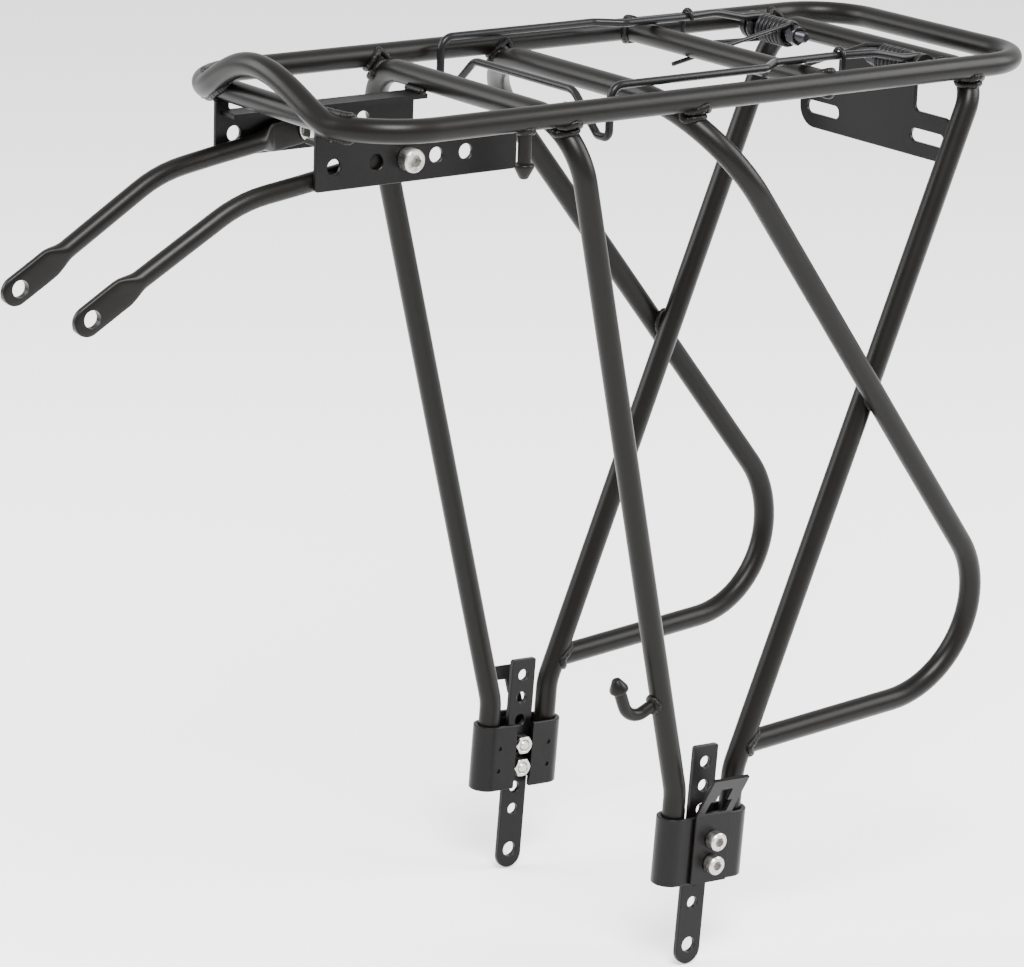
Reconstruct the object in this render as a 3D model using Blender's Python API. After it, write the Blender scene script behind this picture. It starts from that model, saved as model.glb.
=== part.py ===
"""Bicycle rear rack: welded tube frame, clamped drop straps, swivelling front stays and a sprung flap.

Metres. +X points to the front of the bicycle, +Y to its left and +Z up.
The origin lies midway between the eyelets at the lower ends of the two drop straps.
"""
import math

import bmesh
import bpy
from mathutils import Matrix, Vector

# Clearances and facets
gap = 0.0003
tube_sides = 12
wire_sides = 8
spring_sides = 6
bend_step = math.radians(15)

# Deck: one closed loop of tube, with its centre line at deck_height
tube_radius = 0.005
deck_height = 0.3825
deck_front = 0.1865
deck_rear = -0.174
deck_half_width = 0.0705
front_corner_radius = 0.036
rear_corner_radius = 0.029
middle_cross_x = -0.054

# Front of the loop, which rises and leans forward over a straight bar
hoop_half_width = 0.046
hoop_rise = 0.0168
hoop_lean = 0.0035
hoop_fullness = 1.2
front_bar_x = 0.1813
front_bar_half_width = 0.050

# U frames under the deck: each is one tube bent down at both sides
cross_drop = 0.0034
front_cross_x = 0.0845
front_spread = 0.0046
front_bend_radius = 0.026
rear_cross_x = -0.1404
rear_spread = -0.0019
rear_bend_radius = 0.017
guard_cross_x = 0.0248
guard_cross_drop = 0.0024
guard_spread = 0.0169
guard_bend_radius = 0.047
guard_heel_x = -0.1937
guard_heel_height = 0.100
guard_heel_radius = 0.044
guard_end_height = 0.0898
front_stub_x = 0.084
guard_stub_x = 0.017
rear_stub_x = -0.135

# Lower ends of the legs, along an axis that leans back from the eyelet
strap_lean = math.radians(3.28)
leg_spacing = 0.032
leg_plane_y = 0.0683
front_knee = 0.0739
rear_knee = 0.0803
knee_radius = 0.025
leg_end = 0.0335

# Drop straps
strap_plane_y = 0.067
strap_thickness = 0.0025
strap_width = 0.0134
strap_top = 0.093
strap_bottom = -0.009
strap_corner_radius = 0.0012
strap_eye_radius = 0.0035
strap_hole_radius = 0.0027
strap_hole_count = 7
strap_hole_pitch = 0.0109
strap_first_hole = 0.0853
clamp_hole_numbers = {"upper": 3, "lower": 4}

# Leg clamps
clamp_bottom = 0.032
clamp_height = 0.031
clamp_sheet = 0.002
clamp_free_gap = 0.0092
collar_radius = 0.0045
dimple_radius = 0.0011
dimple_depth = 0.0007
dimple_offset = 0.014

# Strap anchors, the outer plates with a hooked-out upper end
anchor_sheet = 0.0016
anchor_width = 0.020
anchor_bottom = 0.0325
anchor_knee = 0.0645
anchor_top = 0.084
anchor_reach = 0.0098
window_lift = 0.0005
window_width = 0.012
window_height = 0.0065
window_neck_width = 0.0065
window_neck_height = 0.0065

# Fasteners: core radius, head radius, head length, socket width, nut width, nut length
m5 = {"core": 0.0024, "head": 0.00425, "head_length": 0.005, "socket": 0.004, "nut": 0.008, "nut_length": 0.005}
m6 = {"core": 0.0029, "head": 0.005, "head_length": 0.006, "socket": 0.005, "nut": 0.010, "nut_length": 0.006}
pivot_screw = {**m5, "head_length": 0.0038, "nut_length": 0.0047}
bore_clearance = 0.0004
thread_run_out = 0.0005

# Side plates that carry the front stays
plate_outer_y = 0.038
plate_sheet = 0.002
plate_rear_x = 0.0865
plate_front_setback = 0.0005
plate_height = 0.0198
flange_width = 0.012
ear_length = 0.0065
ear_rise = 0.0042
plate_hole_radius = 0.00325
plate_hole_drop = 0.0101
plate_hole_start = 0.1124
plate_hole_pitch = 0.0147
plate_hole_count = 4
plate_last_hole = 0.177
stay_hole_number = 2

# Front stays
stay_radius = 0.004
stay_flat_half_width = 0.00625
stay_flat_half_depth = 0.00175
stay_tail = 0.0078
stay_run = 0.0482
stay_run_drop = 0.0074
stay_bend_forward = 0.0745
stay_bend_drop = 0.0115
stay_bend_radius = 0.060
stay_eye_forward = 0.1417
stay_eye_drop = 0.0512
stay_eye_y = 0.028
stay_eye_radius = 0.00375
stay_eye_tail = 0.008
crimp_start = 0.018
crimp_end = 0.026
eye_flat_length = 0.024
eye_crimp_length = 0.010
washer_radius = 0.006
washer_thickness = 0.0012

# Lamp bracket under the rear cross tube
bracket_x = -0.1435
bracket_sheet = 0.002
tongue_half_width = 0.0262
bracket_half_width = 0.0517
bracket_shoulder = 0.028
bracket_bottom = 0.0484
bracket_lower_radius = 0.010
bracket_upper_radius = 0.006
slot_inner_y = 0.0245
slot_outer_y = 0.0467
slot_drop = 0.0388
slot_half_height = 0.003

# Pump pegs on the left side
peg_stem_radius = 0.0028
peg_barb_radius = 0.0042
peg_tip_radius = 0.0017
peg_barb_length = 0.0063
upper_peg_x = 0.107
upper_peg_length = 0.0245
lower_peg_height = 0.120
lower_peg_reach = 0.0175
lower_peg_dip = 0.0075
lower_peg_bend_radius = 0.008
lower_peg_rise = 0.021
lower_peg_lean = 0.008

# Sprung flap and its hinge
flap_wire_radius = 0.00175
hinge_x = -0.117
hinge_drop = 0.001
flap_front_x = 0.056
flap_wide_y = 0.060
flap_narrow_y = 0.0515
flap_eye_y = 0.0545
flap_kink_front = -0.027
flap_kink_rear = -0.038
flap_splay_front = -0.070
flap_splay_rear = -0.092
flap_bar_half_width = 0.035
flap_bar_height = 0.001
flap_dip = 0.015
flap_dip_inner_y = 0.0523
flap_bar_radius = 0.008
flap_dip_radius = 0.0035
flap_front_radius = 0.006
eye_turn = math.radians(300)
lug_inner_y = 0.0566
lug_thickness = 0.003
lug_radius = 0.0062
lug_foot_rear = -0.1295
lug_foot_front = -0.1235
lug_half_height = 0.0036
pivot_inner_y = 0.020
pivot_nut_inner_y = 0.025

# Torsion springs of the flap
spring_wire_radius = 0.001
spring_coil_radius = 0.0053
spring_turns = 7
spring_outer_y = 0.0503
spring_inner_y = 0.031
spring_leg_y = 0.0266
spring_leg_level = 0.006
spring_leg_tail = 0.008
spring_knee_radius = 0.004
hook_x = -0.074
hook_turn = math.radians(200)


def clear_scene():
    for old in list(bpy.data.objects):
        bpy.data.objects.remove(old, do_unlink=True)


def finish(name, color, roughness, metallic):
    material = bpy.data.materials.new(name)
    material.use_nodes = True
    shader = material.node_tree.nodes["Principled BSDF"]
    shader.inputs["Base Color"].default_value = (*color, 1)
    shader.inputs["Roughness"].default_value = roughness
    shader.inputs["Metallic"].default_value = metallic
    return material


def from_deck(x, y, z):
    """A point whose height is given from the deck's centre line."""
    return Vector((x, y, deck_height + z))


def strap_axis(distance, forward=0.0, y=0.0):
    """A point at a distance up the leaning strap axis, and forward of it at right angles."""
    up = Vector((-math.sin(strap_lean), 0, math.cos(strap_lean)))
    ahead = Vector((math.cos(strap_lean), 0, math.sin(strap_lean)))
    return up * distance + ahead * forward + Vector((0, y, 0))


def strap_frame():
    """The strap axis as a frame: X forward, Y left, Z up the axis."""
    return Matrix.Rotation(-strap_lean, 4, "Y")


def rounded(points, radii, closed=False):
    """A path through corner points, each corner turned into an arc of its own radius."""
    path = []
    count = len(points)
    for index, corner in enumerate(points):
        if not closed and index in (0, count - 1):
            path.append(corner.copy())
            continue
        radius = radii[index if closed else index - 1]
        back = (points[index - 1] - corner).normalized()
        ahead = (points[(index + 1) % count] - corner).normalized()
        turn = math.pi - back.angle(ahead)
        if radius == 0 or turn < 0.001:
            path.append(corner.copy())
            continue
        centre = corner + (back + ahead).normalized() * radius / math.cos(turn / 2)
        start = corner + back * radius * math.tan(turn / 2) - centre
        axis = back.cross(start)
        steps = max(2, math.ceil(turn / bend_step))
        for step in range(steps + 1):
            path.append(centre + Matrix.Rotation(turn * step / steps, 3, axis) @ start)
    return path


def with_stations(path, stations):
    """The same path with extra points at given distances from its start."""
    marked = []
    travelled = 0.0
    for first, second in zip(path, path[1:]):
        marked.append((travelled, first))
        span = (second - first).length
        for station in stations:
            if travelled + 1e-6 < station < travelled + span - 1e-6:
                marked.append((station, first.lerp(second, (station - travelled) / span)))
        travelled += span
    marked.append((travelled, path[-1]))
    marked.sort(key=lambda item: item[0])
    return [point for distance, point in marked]


def path_length(path):
    return sum((second - first).length for first, second in zip(path, path[1:]))


def add_object(name, mesh, material, smooth=True):
    """Closes a bmesh into a named object with its faces pointing out."""
    bmesh.ops.recalc_face_normals(mesh, faces=mesh.faces[:])
    data = bpy.data.meshes.new(name)
    mesh.to_mesh(data)
    mesh.free()
    if smooth:
        data.shade_smooth()
        data.set_sharp_from_angle(angle=math.radians(35))
    made = bpy.data.objects.new(name, data)
    bpy.context.collection.objects.link(made)
    if material:
        data.materials.append(material)
    else:
        made.hide_render = True
        made.display_type = "WIRE"
    return made


def swept(name, path, size, material, sides=tube_sides, closed=False, side_hint=Vector((0, 1, 0))):
    """A skin of rings along a path; size(distance) gives half width and half depth of each ring."""
    count = len(path)
    mesh = bmesh.new()
    rings = []
    travelled = 0.0
    normal = side_hint
    for index, point in enumerate(path):
        before = path[index - 1] if index or closed else point
        after = path[(index + 1) % count] if index < count - 1 or closed else point
        toward = (point - before).normalized() + (after - point).normalized()
        tangent = toward.normalized()
        normal = (normal - tangent * normal.dot(tangent)).normalized()
        other = tangent.cross(normal)
        half_depth, half_width = size(travelled)
        ring = []
        for side in range(sides):
            angle = math.tau * (side + 0.5) / sides
            offset = normal * half_depth * math.cos(angle) + other * half_width * math.sin(angle)
            ring.append(mesh.verts.new(point + offset))
        rings.append(ring)
        travelled += (after - point).length
    pairs = list(zip(rings, rings[1:]))
    if closed:
        pairs.append((rings[-1], rings[0]))
    else:
        mesh.faces.new(rings[0])
        mesh.faces.new(rings[-1])
    for first, second in pairs:
        for side in range(sides):
            following = (side + 1) % sides
            mesh.faces.new((first[side], first[following], second[following], second[side]))
    return add_object(name, mesh, material)


def tube(name, path, radius, material, sides=tube_sides, closed=False, side_hint=Vector((0, 1, 0))):
    return swept(name, path, lambda distance: (radius, radius), material, sides, closed, side_hint)


def sheet(name, outline, holes, low, high, place, material):
    """A flat blank with holes, in the place matrix's XY plane, from low to high along its Z."""
    mesh = bmesh.new()
    for loop in [outline] + holes:
        corners = [mesh.verts.new((across, along, low)) for across, along in loop]
        for first, second in zip(corners, corners[1:] + corners[:1]):
            mesh.edges.new((first, second))
    bmesh.ops.triangle_fill(mesh, use_beauty=True, edges=mesh.edges[:])
    raised = bmesh.ops.extrude_face_region(mesh, geom=mesh.faces[:])["geom"]
    top = [item for item in raised if isinstance(item, bmesh.types.BMVert)]
    bmesh.ops.translate(mesh, verts=top, vec=(0, 0, high - low))
    bmesh.ops.transform(mesh, matrix=place, verts=mesh.verts[:])
    return add_object(name, mesh, material)


def circle(radius, centre=(0, 0), sides=tube_sides):
    turns = [math.tau * (side + 0.5) / sides for side in range(sides)]
    return [(centre[0] + radius * math.cos(turn), centre[1] + radius * math.sin(turn)) for turn in turns]


def hexagon(width):
    """A hexagon with two of its flats facing along the second axis."""
    corners = [math.tau * side / 6 for side in range(6)]
    return [(width / math.sqrt(3) * math.cos(turn), width / math.sqrt(3) * math.sin(turn)) for turn in corners]


def rounded_outline(corners, radii):
    """A closed 2-D outline with an arc at each corner."""
    path = rounded([Vector((across, along, 0)) for across, along in corners], radii, closed=True)
    return [(point.x, point.y) for point in path]


def across_y(x, z):
    """A frame whose XY plane is the side view (X forward, Y up) and whose Z runs along -Y."""
    return Matrix.Translation((x, 0, z)) @ Matrix.Rotation(math.pi / 2, 4, "X")


def side_sheet(name, side, outline, holes, near, far, place, material):
    """A side-view blank between two distances from the centre plane, on either side of it."""
    low, high = sorted((-side * near, -side * far))
    return sheet(name, outline, holes, low, high, place, material)


def boolean(piece, tool, operation, solver="EXACT"):
    change = piece.modifiers.new(operation.title(), "BOOLEAN")
    change.operation = operation
    change.solver = solver
    change.object = tool


def set_pivot(piece, pivot):
    """Moves a piece's origin to its joint without moving its shape."""
    piece.data.transform(Matrix.Translation(-pivot))
    piece.location = pivot


def drilled(piece, side, radius, near, far, place, solver="EXACT"):
    """Cuts one round hole along the place's Z axis, which runs along Y, through a piece."""
    tool = side_sheet(f"{piece.name}_drill", side, circle(radius), [], near, far, place, None)
    boolean(piece, tool, "DIFFERENCE", solver)


def hoop_lifted(point):
    """A point of the loop, lifted and leant forward when it lies in the raised front."""
    share = abs(point.y) / hoop_half_width
    if point.x < front_bar_x or share > 1:
        return point
    rise = math.cos(math.pi / 2 * share) ** hoop_fullness
    return point + Vector((hoop_lean * rise, 0, hoop_rise * rise))


def deck_path():
    corners = [
        from_deck(deck_front, -deck_half_width, 0),
        from_deck(deck_front, deck_half_width, 0),
        from_deck(deck_rear, deck_half_width, 0),
        from_deck(deck_rear, -deck_half_width, 0),
    ]
    radii = [front_corner_radius, front_corner_radius, rear_corner_radius, rear_corner_radius]
    path = rounded(corners, radii, closed=True)
    steps = 14
    reach = deck_half_width - front_corner_radius
    turn_points = len(path) // 4
    front = [from_deck(deck_front, reach * (2 * step / steps - 1), 0) for step in range(1, steps)]
    return [hoop_lifted(point) for point in path[:turn_points] + front + path[turn_points:]]


def make_deck(frame_finish):
    """The closed deck loop with its cross tubes, and the wider copies that trim whatever is welded to them."""
    tube("deck_loop", deck_path(), tube_radius, frame_finish, closed=True, side_hint=Vector((0, 0, 1)))
    trim = tube("deck_trim", deck_path(), tube_radius + gap, None, closed=True, side_hint=Vector((0, 0, 1)))
    ends = [from_deck(middle_cross_x, -deck_half_width, 0), from_deck(middle_cross_x, deck_half_width, 0)]
    cross = tube("deck_cross_tube", ends, tube_radius, frame_finish, side_hint=Vector((0, 0, 1)))
    boolean(cross, trim, "DIFFERENCE")
    ends = [from_deck(front_bar_x, -front_bar_half_width, 0), from_deck(front_bar_x, front_bar_half_width, 0)]
    bar = tube("front_bar", ends, tube_radius, frame_finish, side_hint=Vector((0, 0, 1)))
    boolean(bar, trim, "DIFFERENCE")
    bar_trim = tube("front_bar_trim", ends, tube_radius + gap, None, side_hint=Vector((0, 0, 1)))
    return trim, bar_trim


def leg_path(side, cross_x, spread, bend, knee, forward):
    """Half of a leg frame: from the middle of its cross part down to its clamped end."""
    top_y = side * (deck_half_width + spread)
    points = [
        from_deck(cross_x, 0, -cross_drop),
        from_deck(cross_x, top_y, -cross_drop),
        strap_axis(knee, forward, side * leg_plane_y),
        strap_axis(leg_end, forward, side * leg_plane_y),
    ]
    return rounded(points, [bend, knee_radius])


def joined_halves(make_half):
    """A whole U frame's path from its two mirrored halves."""
    return list(reversed(make_half(-1))) + make_half(1)[1:]


def front_leg_path(side):
    return leg_path(side, front_cross_x, front_spread, front_bend_radius, front_knee, leg_spacing / 2)


def rear_leg_path(side):
    return leg_path(side, rear_cross_x, rear_spread, rear_bend_radius, rear_knee, -leg_spacing / 2)


def rear_leg_point(side, height):
    """Where the straight run of a rear leg passes a height."""
    top = from_deck(rear_cross_x, side * (deck_half_width + rear_spread), -cross_drop)
    knee = strap_axis(rear_knee, -leg_spacing / 2, side * leg_plane_y)
    return top.lerp(knee, (top.z - height) / (top.z - knee.z))


def guard_path(side):
    """Half of the guard frame: down, across the outer face of the rear leg, and back to the leg's foot."""
    top = from_deck(guard_cross_x, side * (deck_half_width + guard_spread), -guard_cross_drop)
    heel = Vector((guard_heel_x, 0, guard_heel_height))
    crossing = rear_leg_point(side, deck_height * 0.6316)
    reach = (top.x - crossing.x) / (top.x - heel.x)
    outside = abs(crossing.y) + 2 * tube_radius + 1.5 * gap
    heel.y = side * (abs(top.y) + (outside - abs(top.y)) / reach)
    points = [
        from_deck(guard_cross_x, 0, -guard_cross_drop),
        top,
        heel,
        rear_leg_point(side, guard_end_height),
    ]
    return rounded(points, [guard_bend_radius, guard_heel_radius])


def nearest_on(path, point):
    """The place on a path that lies closest to a point."""
    places = []
    for first, second in zip(path, path[1:]):
        along = second - first
        share = (point - first).dot(along) / along.length_squared
        places.append(first + along * min(max(share, 0.0), 1.0))
    return min(places, key=lambda place: (place - point).length)


def make_u_frame(name, path, stub_x, trim, frame_finish):
    """One bent tube with a short post at each side that leans up to the rail it carries."""
    frame = tube(name, path, tube_radius, frame_finish, side_hint=Vector((1, 0, 0)))
    for side in (1, -1):
        rail = from_deck(stub_x, side * deck_half_width, 0)
        foot = nearest_on(path, rail)
        post = [rail + (foot - rail).normalized() * tube_radius / 2, foot]
        stub = tube(f"{name}_stub", post, tube_radius * 0.96, None, side_hint=Vector((1, 0, 0)))
        boolean(frame, stub, "UNION")
    boolean(frame, trim, "DIFFERENCE")
    return frame


def make_legs(trim, frame_finish):
    """The three U frames; the guard's lower ends are mitred against the rear legs."""
    make_u_frame("front_leg_frame", joined_halves(front_leg_path), front_stub_x, trim, frame_finish)
    make_u_frame("rear_leg_frame", joined_halves(rear_leg_path), rear_stub_x, trim, frame_finish)
    guard = make_u_frame("guard_frame", joined_halves(guard_path), guard_stub_x, trim, frame_finish)
    wider = tube("rear_leg_trim", joined_halves(rear_leg_path), tube_radius + gap, None, side_hint=Vector((1, 0, 0)))
    boolean(guard, wider, "DIFFERENCE")


def strap_holes():
    return [strap_first_hole - strap_hole_pitch * number for number in range(strap_hole_count)]


def strap_side_frame():
    """Side view in the strap's own frame: X forward, Y up the strap, Z along -Y."""
    return strap_frame() @ Matrix.Rotation(math.pi / 2, 4, "X")


def make_strap(side, name, strap_finish):
    """A flat strap with a row of holes and the eyelet that bolts to the bicycle."""
    half = strap_width / 2
    corners = [(-half, strap_bottom), (half, strap_bottom), (half, strap_top), (-half, strap_top)]
    outline = rounded_outline(corners, [half * 0.98] * 2 + [strap_corner_radius] * 2)
    holes = [circle(strap_hole_radius, (0, height)) for height in strap_holes()]
    holes.append(circle(strap_eye_radius, sides=16))
    near = strap_plane_y - strap_thickness / 2
    far = strap_plane_y + strap_thickness / 2
    side_sheet(f"drop_strap_{name}", side, outline, holes, near, far, strap_side_frame(), strap_finish)


def clamp_outline(side):
    """The clamp's section from above: a web, a wrap round each leg and two flaps, all of one sheet."""
    inner = tube_radius + gap
    outer = inner + clamp_sheet
    half = leg_spacing / 2
    steps = 8
    loop = []
    for radius, order in ((outer, range(steps + 1)), (inner, range(steps, -1, -1))):
        arc = [(half + radius * math.cos(turn), radius * math.sin(turn))
               for turn in [math.pi * (step / steps - 0.5) for step in order]]
        mirrored = [(-across, out) for across, out in reversed(arc)]
        free = (clamp_free_gap / 2, -radius)
        free_mirrored = (-clamp_free_gap / 2, -radius)
        if radius == outer:
            loop += [free] + arc + mirrored + [free_mirrored]
        else:
            loop += [free_mirrored] + mirrored + arc + [free]
    return [(across, side * (leg_plane_y + out)) for across, out in loop]


def clamp_bolt_heights():
    holes = strap_holes()
    return {level: holes[number] for level, number in clamp_hole_numbers.items()}


def make_clamp(side, name, clamp_finish):
    """A folded clamp that grips both legs; its collars press the strap against the nuts."""
    place = strap_frame()
    clamp_top = clamp_bottom + clamp_height
    clamp = sheet(f"leg_clamp_{name}", clamp_outline(side), [], clamp_bottom, clamp_top, place, clamp_finish)
    web_inner = leg_plane_y + tube_radius + gap
    collar_end = strap_plane_y + strap_thickness / 2 + gap
    flap_outer = leg_plane_y - tube_radius - gap - clamp_sheet
    bore = m5["core"] + bore_clearance
    for height in clamp_bolt_heights().values():
        collar_place = strap_side_frame() @ Matrix.Translation((0, height, 0))
        collar = side_sheet(f"leg_clamp_{name}_collar", side, circle(collar_radius), [], collar_end,
                            web_inner + clamp_sheet / 2, collar_place, None)
        boolean(clamp, collar, "UNION", "MANIFOLD")
        drilled(clamp, side, bore, collar_end - 0.001, web_inner + 2 * clamp_sheet, collar_place, "MANIFOLD")
        for across in (-dimple_offset, dimple_offset):
            dimple_place = collar_place @ Matrix.Translation((across, 0, 0))
            floor = flap_outer + dimple_depth
            drilled(clamp, side, dimple_radius, flap_outer - 0.001, floor, dimple_place, "MANIFOLD")


def anchor_section(side):
    """The anchor's bent section: outward distance and height, as a closed strip of even thickness."""
    inner = leg_plane_y + tube_radius + gap + clamp_sheet + gap
    rise = anchor_top - anchor_knee
    slope = math.atan2(anchor_reach, rise)
    shift = anchor_sheet * math.tan(slope / 2)
    outward = anchor_sheet * math.cos(slope)
    down = anchor_sheet * math.sin(slope)
    near_edge = [(inner, anchor_bottom), (inner, anchor_knee), (inner + anchor_reach, anchor_top)]
    far_edge = [(inner + anchor_reach + outward, anchor_top - down), (inner + anchor_sheet, anchor_knee - shift),
                (inner + anchor_sheet, anchor_bottom)]
    return [(side * out, height) for out, height in near_edge + far_edge]


def make_anchor(side, name, anchor_finish):
    """The outer plate under the clamp bolts, whose upper end leans out with a T-shaped window."""
    across = strap_frame() @ Matrix(((0, 0, 1, 0), (1, 0, 0, 0), (0, 1, 0, 0), (0, 0, 0, 1)))
    half = anchor_width / 2
    anchor = sheet(f"strap_anchor_{name}", anchor_section(side), [], -half, half, across, anchor_finish)
    inner = leg_plane_y + tube_radius + clamp_sheet
    outer = inner + anchor_reach + 2 * anchor_sheet
    bore = m5["core"] + bore_clearance
    for height in clamp_bolt_heights().values():
        place = strap_side_frame() @ Matrix.Translation((0, height, 0))
        drilled(anchor, side, bore, inner - anchor_sheet, inner + 2 * anchor_sheet, place)
    low = anchor_knee + window_lift
    middle = low + window_height
    wide = window_width / 2
    narrow = window_neck_width / 2
    top = middle + window_neck_height
    outline = [(-wide, low), (wide, low), (wide, middle), (narrow, middle), (narrow, top), (-narrow, top),
               (-narrow, middle), (-wide, middle)]
    window = side_sheet(f"strap_anchor_{name}_window", side, outline, [], inner - 0.002, outer + 0.004,
                        strap_side_frame(), None)
    boolean(anchor, window, "DIFFERENCE")


def make_screw(name, side, size, head_base, tip, place, zinc):
    """A socket head cap screw along Y, from the inner end at tip to the head's far face."""
    head_top = head_base + size["head_length"]
    screw = side_sheet(name, side, circle(size["core"]), [], tip, head_base + size["head_length"] / 2, place, zinc)
    head = side_sheet(f"{name}_head", side, circle(size["head"], sides=16), [], head_base, head_top, place, None)
    boolean(screw, head, "UNION")
    socket_floor = head_top - size["head_length"] * 0.45
    socket = side_sheet(f"{name}_socket", side, hexagon(size["socket"]), [], socket_floor, head_top + 0.001,
                        place, None)
    boolean(screw, socket, "DIFFERENCE")


def make_nut(name, side, size, inner, place, zinc, quarter_turn=False):
    """A hexagon nut along Y with a clearance bore in place of its thread."""
    if quarter_turn:
        place = place @ Matrix.Rotation(math.pi / 2, 4, "Z")
    bore = circle(size["core"] + bore_clearance)
    side_sheet(name, side, hexagon(size["nut"]), [bore], inner, inner + size["nut_length"], place, zinc)


def make_clamp_fasteners(side, name, zinc):
    """Two screws through anchor, clamp and strap, with nuts between the clamp's free edges."""
    anchor_outer = leg_plane_y + tube_radius + gap + clamp_sheet + gap + anchor_sheet
    nut_inner = strap_plane_y - strap_thickness / 2 - gap - m5["nut_length"]
    for level, height in clamp_bolt_heights().items():
        place = strap_side_frame() @ Matrix.Translation((0, height, 0))
        head_base = anchor_outer + gap
        make_screw(f"clamp_bolt_{level}_{name}", side, m5, head_base, nut_inner - thread_run_out, place, zinc)
        make_nut(f"clamp_nut_{level}_{name}", side, m5, nut_inner, place, zinc, quarter_turn=True)


def plate_top():
    """Height of the side plates' upper face, just under the front cross tube."""
    return -cross_drop - tube_radius - gap


def plate_holes():
    holes = [plate_hole_start + plate_hole_pitch * number for number in range(plate_hole_count)]
    return holes + [plate_last_hole]


def stay_pivot(side):
    y = side * plate_outer_y
    return from_deck(plate_holes()[stay_hole_number], y, plate_top() - plate_hole_drop)


def make_side_plate(side, name, trim, frame_finish):
    """An angle section under the deck's front bay, with a row of holes and an ear up to the front bar."""
    front_x = deck_front - plate_front_setback
    top = plate_top()
    web_inner = plate_outer_y - plate_sheet
    section = [
        (side * plate_outer_y, top - plate_height),
        (side * plate_outer_y, top),
        (side * (plate_outer_y - flange_width), top),
        (side * (plate_outer_y - flange_width), top - plate_sheet),
        (side * web_inner, top - plate_sheet),
        (side * web_inner, top - plate_height),
    ]
    along = Matrix.Translation((0, 0, deck_height)) @ Matrix(((0, 0, 1, 0), (1, 0, 0, 0), (0, 1, 0, 0), (0, 0, 0, 1)))
    plate = sheet(f"side_plate_{name}", section, [], plate_rear_x, front_x, along, frame_finish)
    ear_outline = [(front_x - ear_length, top - plate_sheet), (front_x, top - plate_sheet),
                   (front_x, top + ear_rise), (front_x - ear_length, top + ear_rise)]
    ear = side_sheet(f"side_plate_{name}_ear", side, ear_outline, [], web_inner, plate_outer_y,
                     across_y(0, deck_height), None)
    boolean(plate, ear, "UNION")
    boolean(plate, trim, "DIFFERENCE")
    for x in plate_holes():
        place = across_y(x, deck_height + top - plate_hole_drop)
        drilled(plate, side, plate_hole_radius, web_inner - 0.001, plate_outer_y + 0.001, place)


def stay_path(side):
    """From behind the bolt, level along the tube, then down to the eyelet at the seat stay."""
    pivot = stay_pivot(side)
    flat_y = plate_outer_y - plate_sheet - gap - stay_flat_half_depth
    round_y = plate_outer_y - plate_sheet - gap - stay_radius
    slope = Vector((stay_run, 0, -stay_run_drop)).normalized()
    base = Vector((pivot.x, 0, pivot.z))
    eye = base + Vector((stay_eye_forward, 0, -stay_eye_drop))
    bend = base + Vector((stay_bend_forward, 0, -stay_bend_drop))
    last = (eye - bend).normalized()
    points = [
        base - slope * stay_tail + Vector((0, side * flat_y, 0)),
        base + slope * crimp_start + Vector((0, side * flat_y, 0)),
        base + slope * crimp_end + Vector((0, side * round_y, 0)),
        base + slope * stay_run + Vector((0, side * round_y, 0)),
        bend + Vector((0, side * (round_y * 2 + stay_eye_y) / 3, 0)),
        eye - last * eye_flat_length / 2 + Vector((0, side * stay_eye_y, 0)),
        eye + last * stay_eye_tail + Vector((0, side * stay_eye_y, 0)),
    ]
    return rounded(points, [0, 0, 0, stay_bend_radius, 0]), eye


def stay_stations(length):
    """Distances at which the stay's section changes, with close ones round both flat ends."""
    radius = stay_flat_half_width
    ends = [radius * (1 - math.cos(math.radians(turn))) for turn in (25, 50, 70, 90)]
    rear = ends + [stay_tail + crimp_start, stay_tail + crimp_end]
    eye_start = length - eye_flat_length
    front = [length - end for end in ends] + [eye_start, eye_start - eye_crimp_length]
    return sorted(rear + front)


def stay_section(distance, length):
    """Half depth and half width of the stay at a distance from its rear tip."""
    flat = stay_flat_half_width
    rounding = 1.0
    to_end = min(distance, length - distance)
    if to_end < flat:
        rounding = max(math.sqrt(1 - (1 - to_end / flat) ** 2), 0.28)
    rear_blend = (distance - stay_tail - crimp_start) / (crimp_end - crimp_start)
    front_blend = (length - eye_flat_length - distance) / eye_crimp_length
    blend = min(max(min(rear_blend, front_blend), 0.0), 1.0)
    half_depth = stay_flat_half_depth + (stay_radius - stay_flat_half_depth) * blend
    half_width = flat + (stay_radius - flat) * blend
    return half_depth, half_width * rounding


def make_stay(side, name, stay_finish):
    """A tube pressed flat at both ends: one end turns on its bolt, the other has the eyelet."""
    path, eye = stay_path(side)
    length = path_length(path)
    path = with_stations(path, stay_stations(length))
    stay = swept(f"front_stay_{name}", path, lambda distance: stay_section(distance, length), stay_finish)
    pivot = stay_pivot(side)
    near = stay_eye_y - 2 * stay_radius
    drilled(stay, side, stay_eye_radius, near, stay_eye_y + 2 * stay_radius, across_y(eye.x, eye.z))
    drilled(stay, side, m6["core"] + bore_clearance, near, plate_outer_y, across_y(pivot.x, pivot.z))
    set_pivot(stay, pivot)


def make_stay_fasteners(side, name, zinc):
    """The screw, washer and nut that a front stay turns on."""
    pivot = stay_pivot(side)
    place = across_y(pivot.x, pivot.z)
    flat_inner = plate_outer_y - plate_sheet - gap - 2 * stay_flat_half_depth
    washer_outer = flat_inner - gap
    washer_inner = washer_outer - washer_thickness
    nut_inner = washer_inner - gap - m6["nut_length"]
    make_screw(f"stay_bolt_{name}", side, m6, plate_outer_y + gap, nut_inner - 2 * thread_run_out, place, zinc)
    bore = circle(m6["core"] + bore_clearance)
    rim = circle(washer_radius, sides=16)
    side_sheet(f"stay_washer_{name}", side, rim, [bore], washer_inner, washer_outer, place, zinc)
    make_nut(f"stay_nut_{name}", side, m6, nut_inner, place, zinc)


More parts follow.
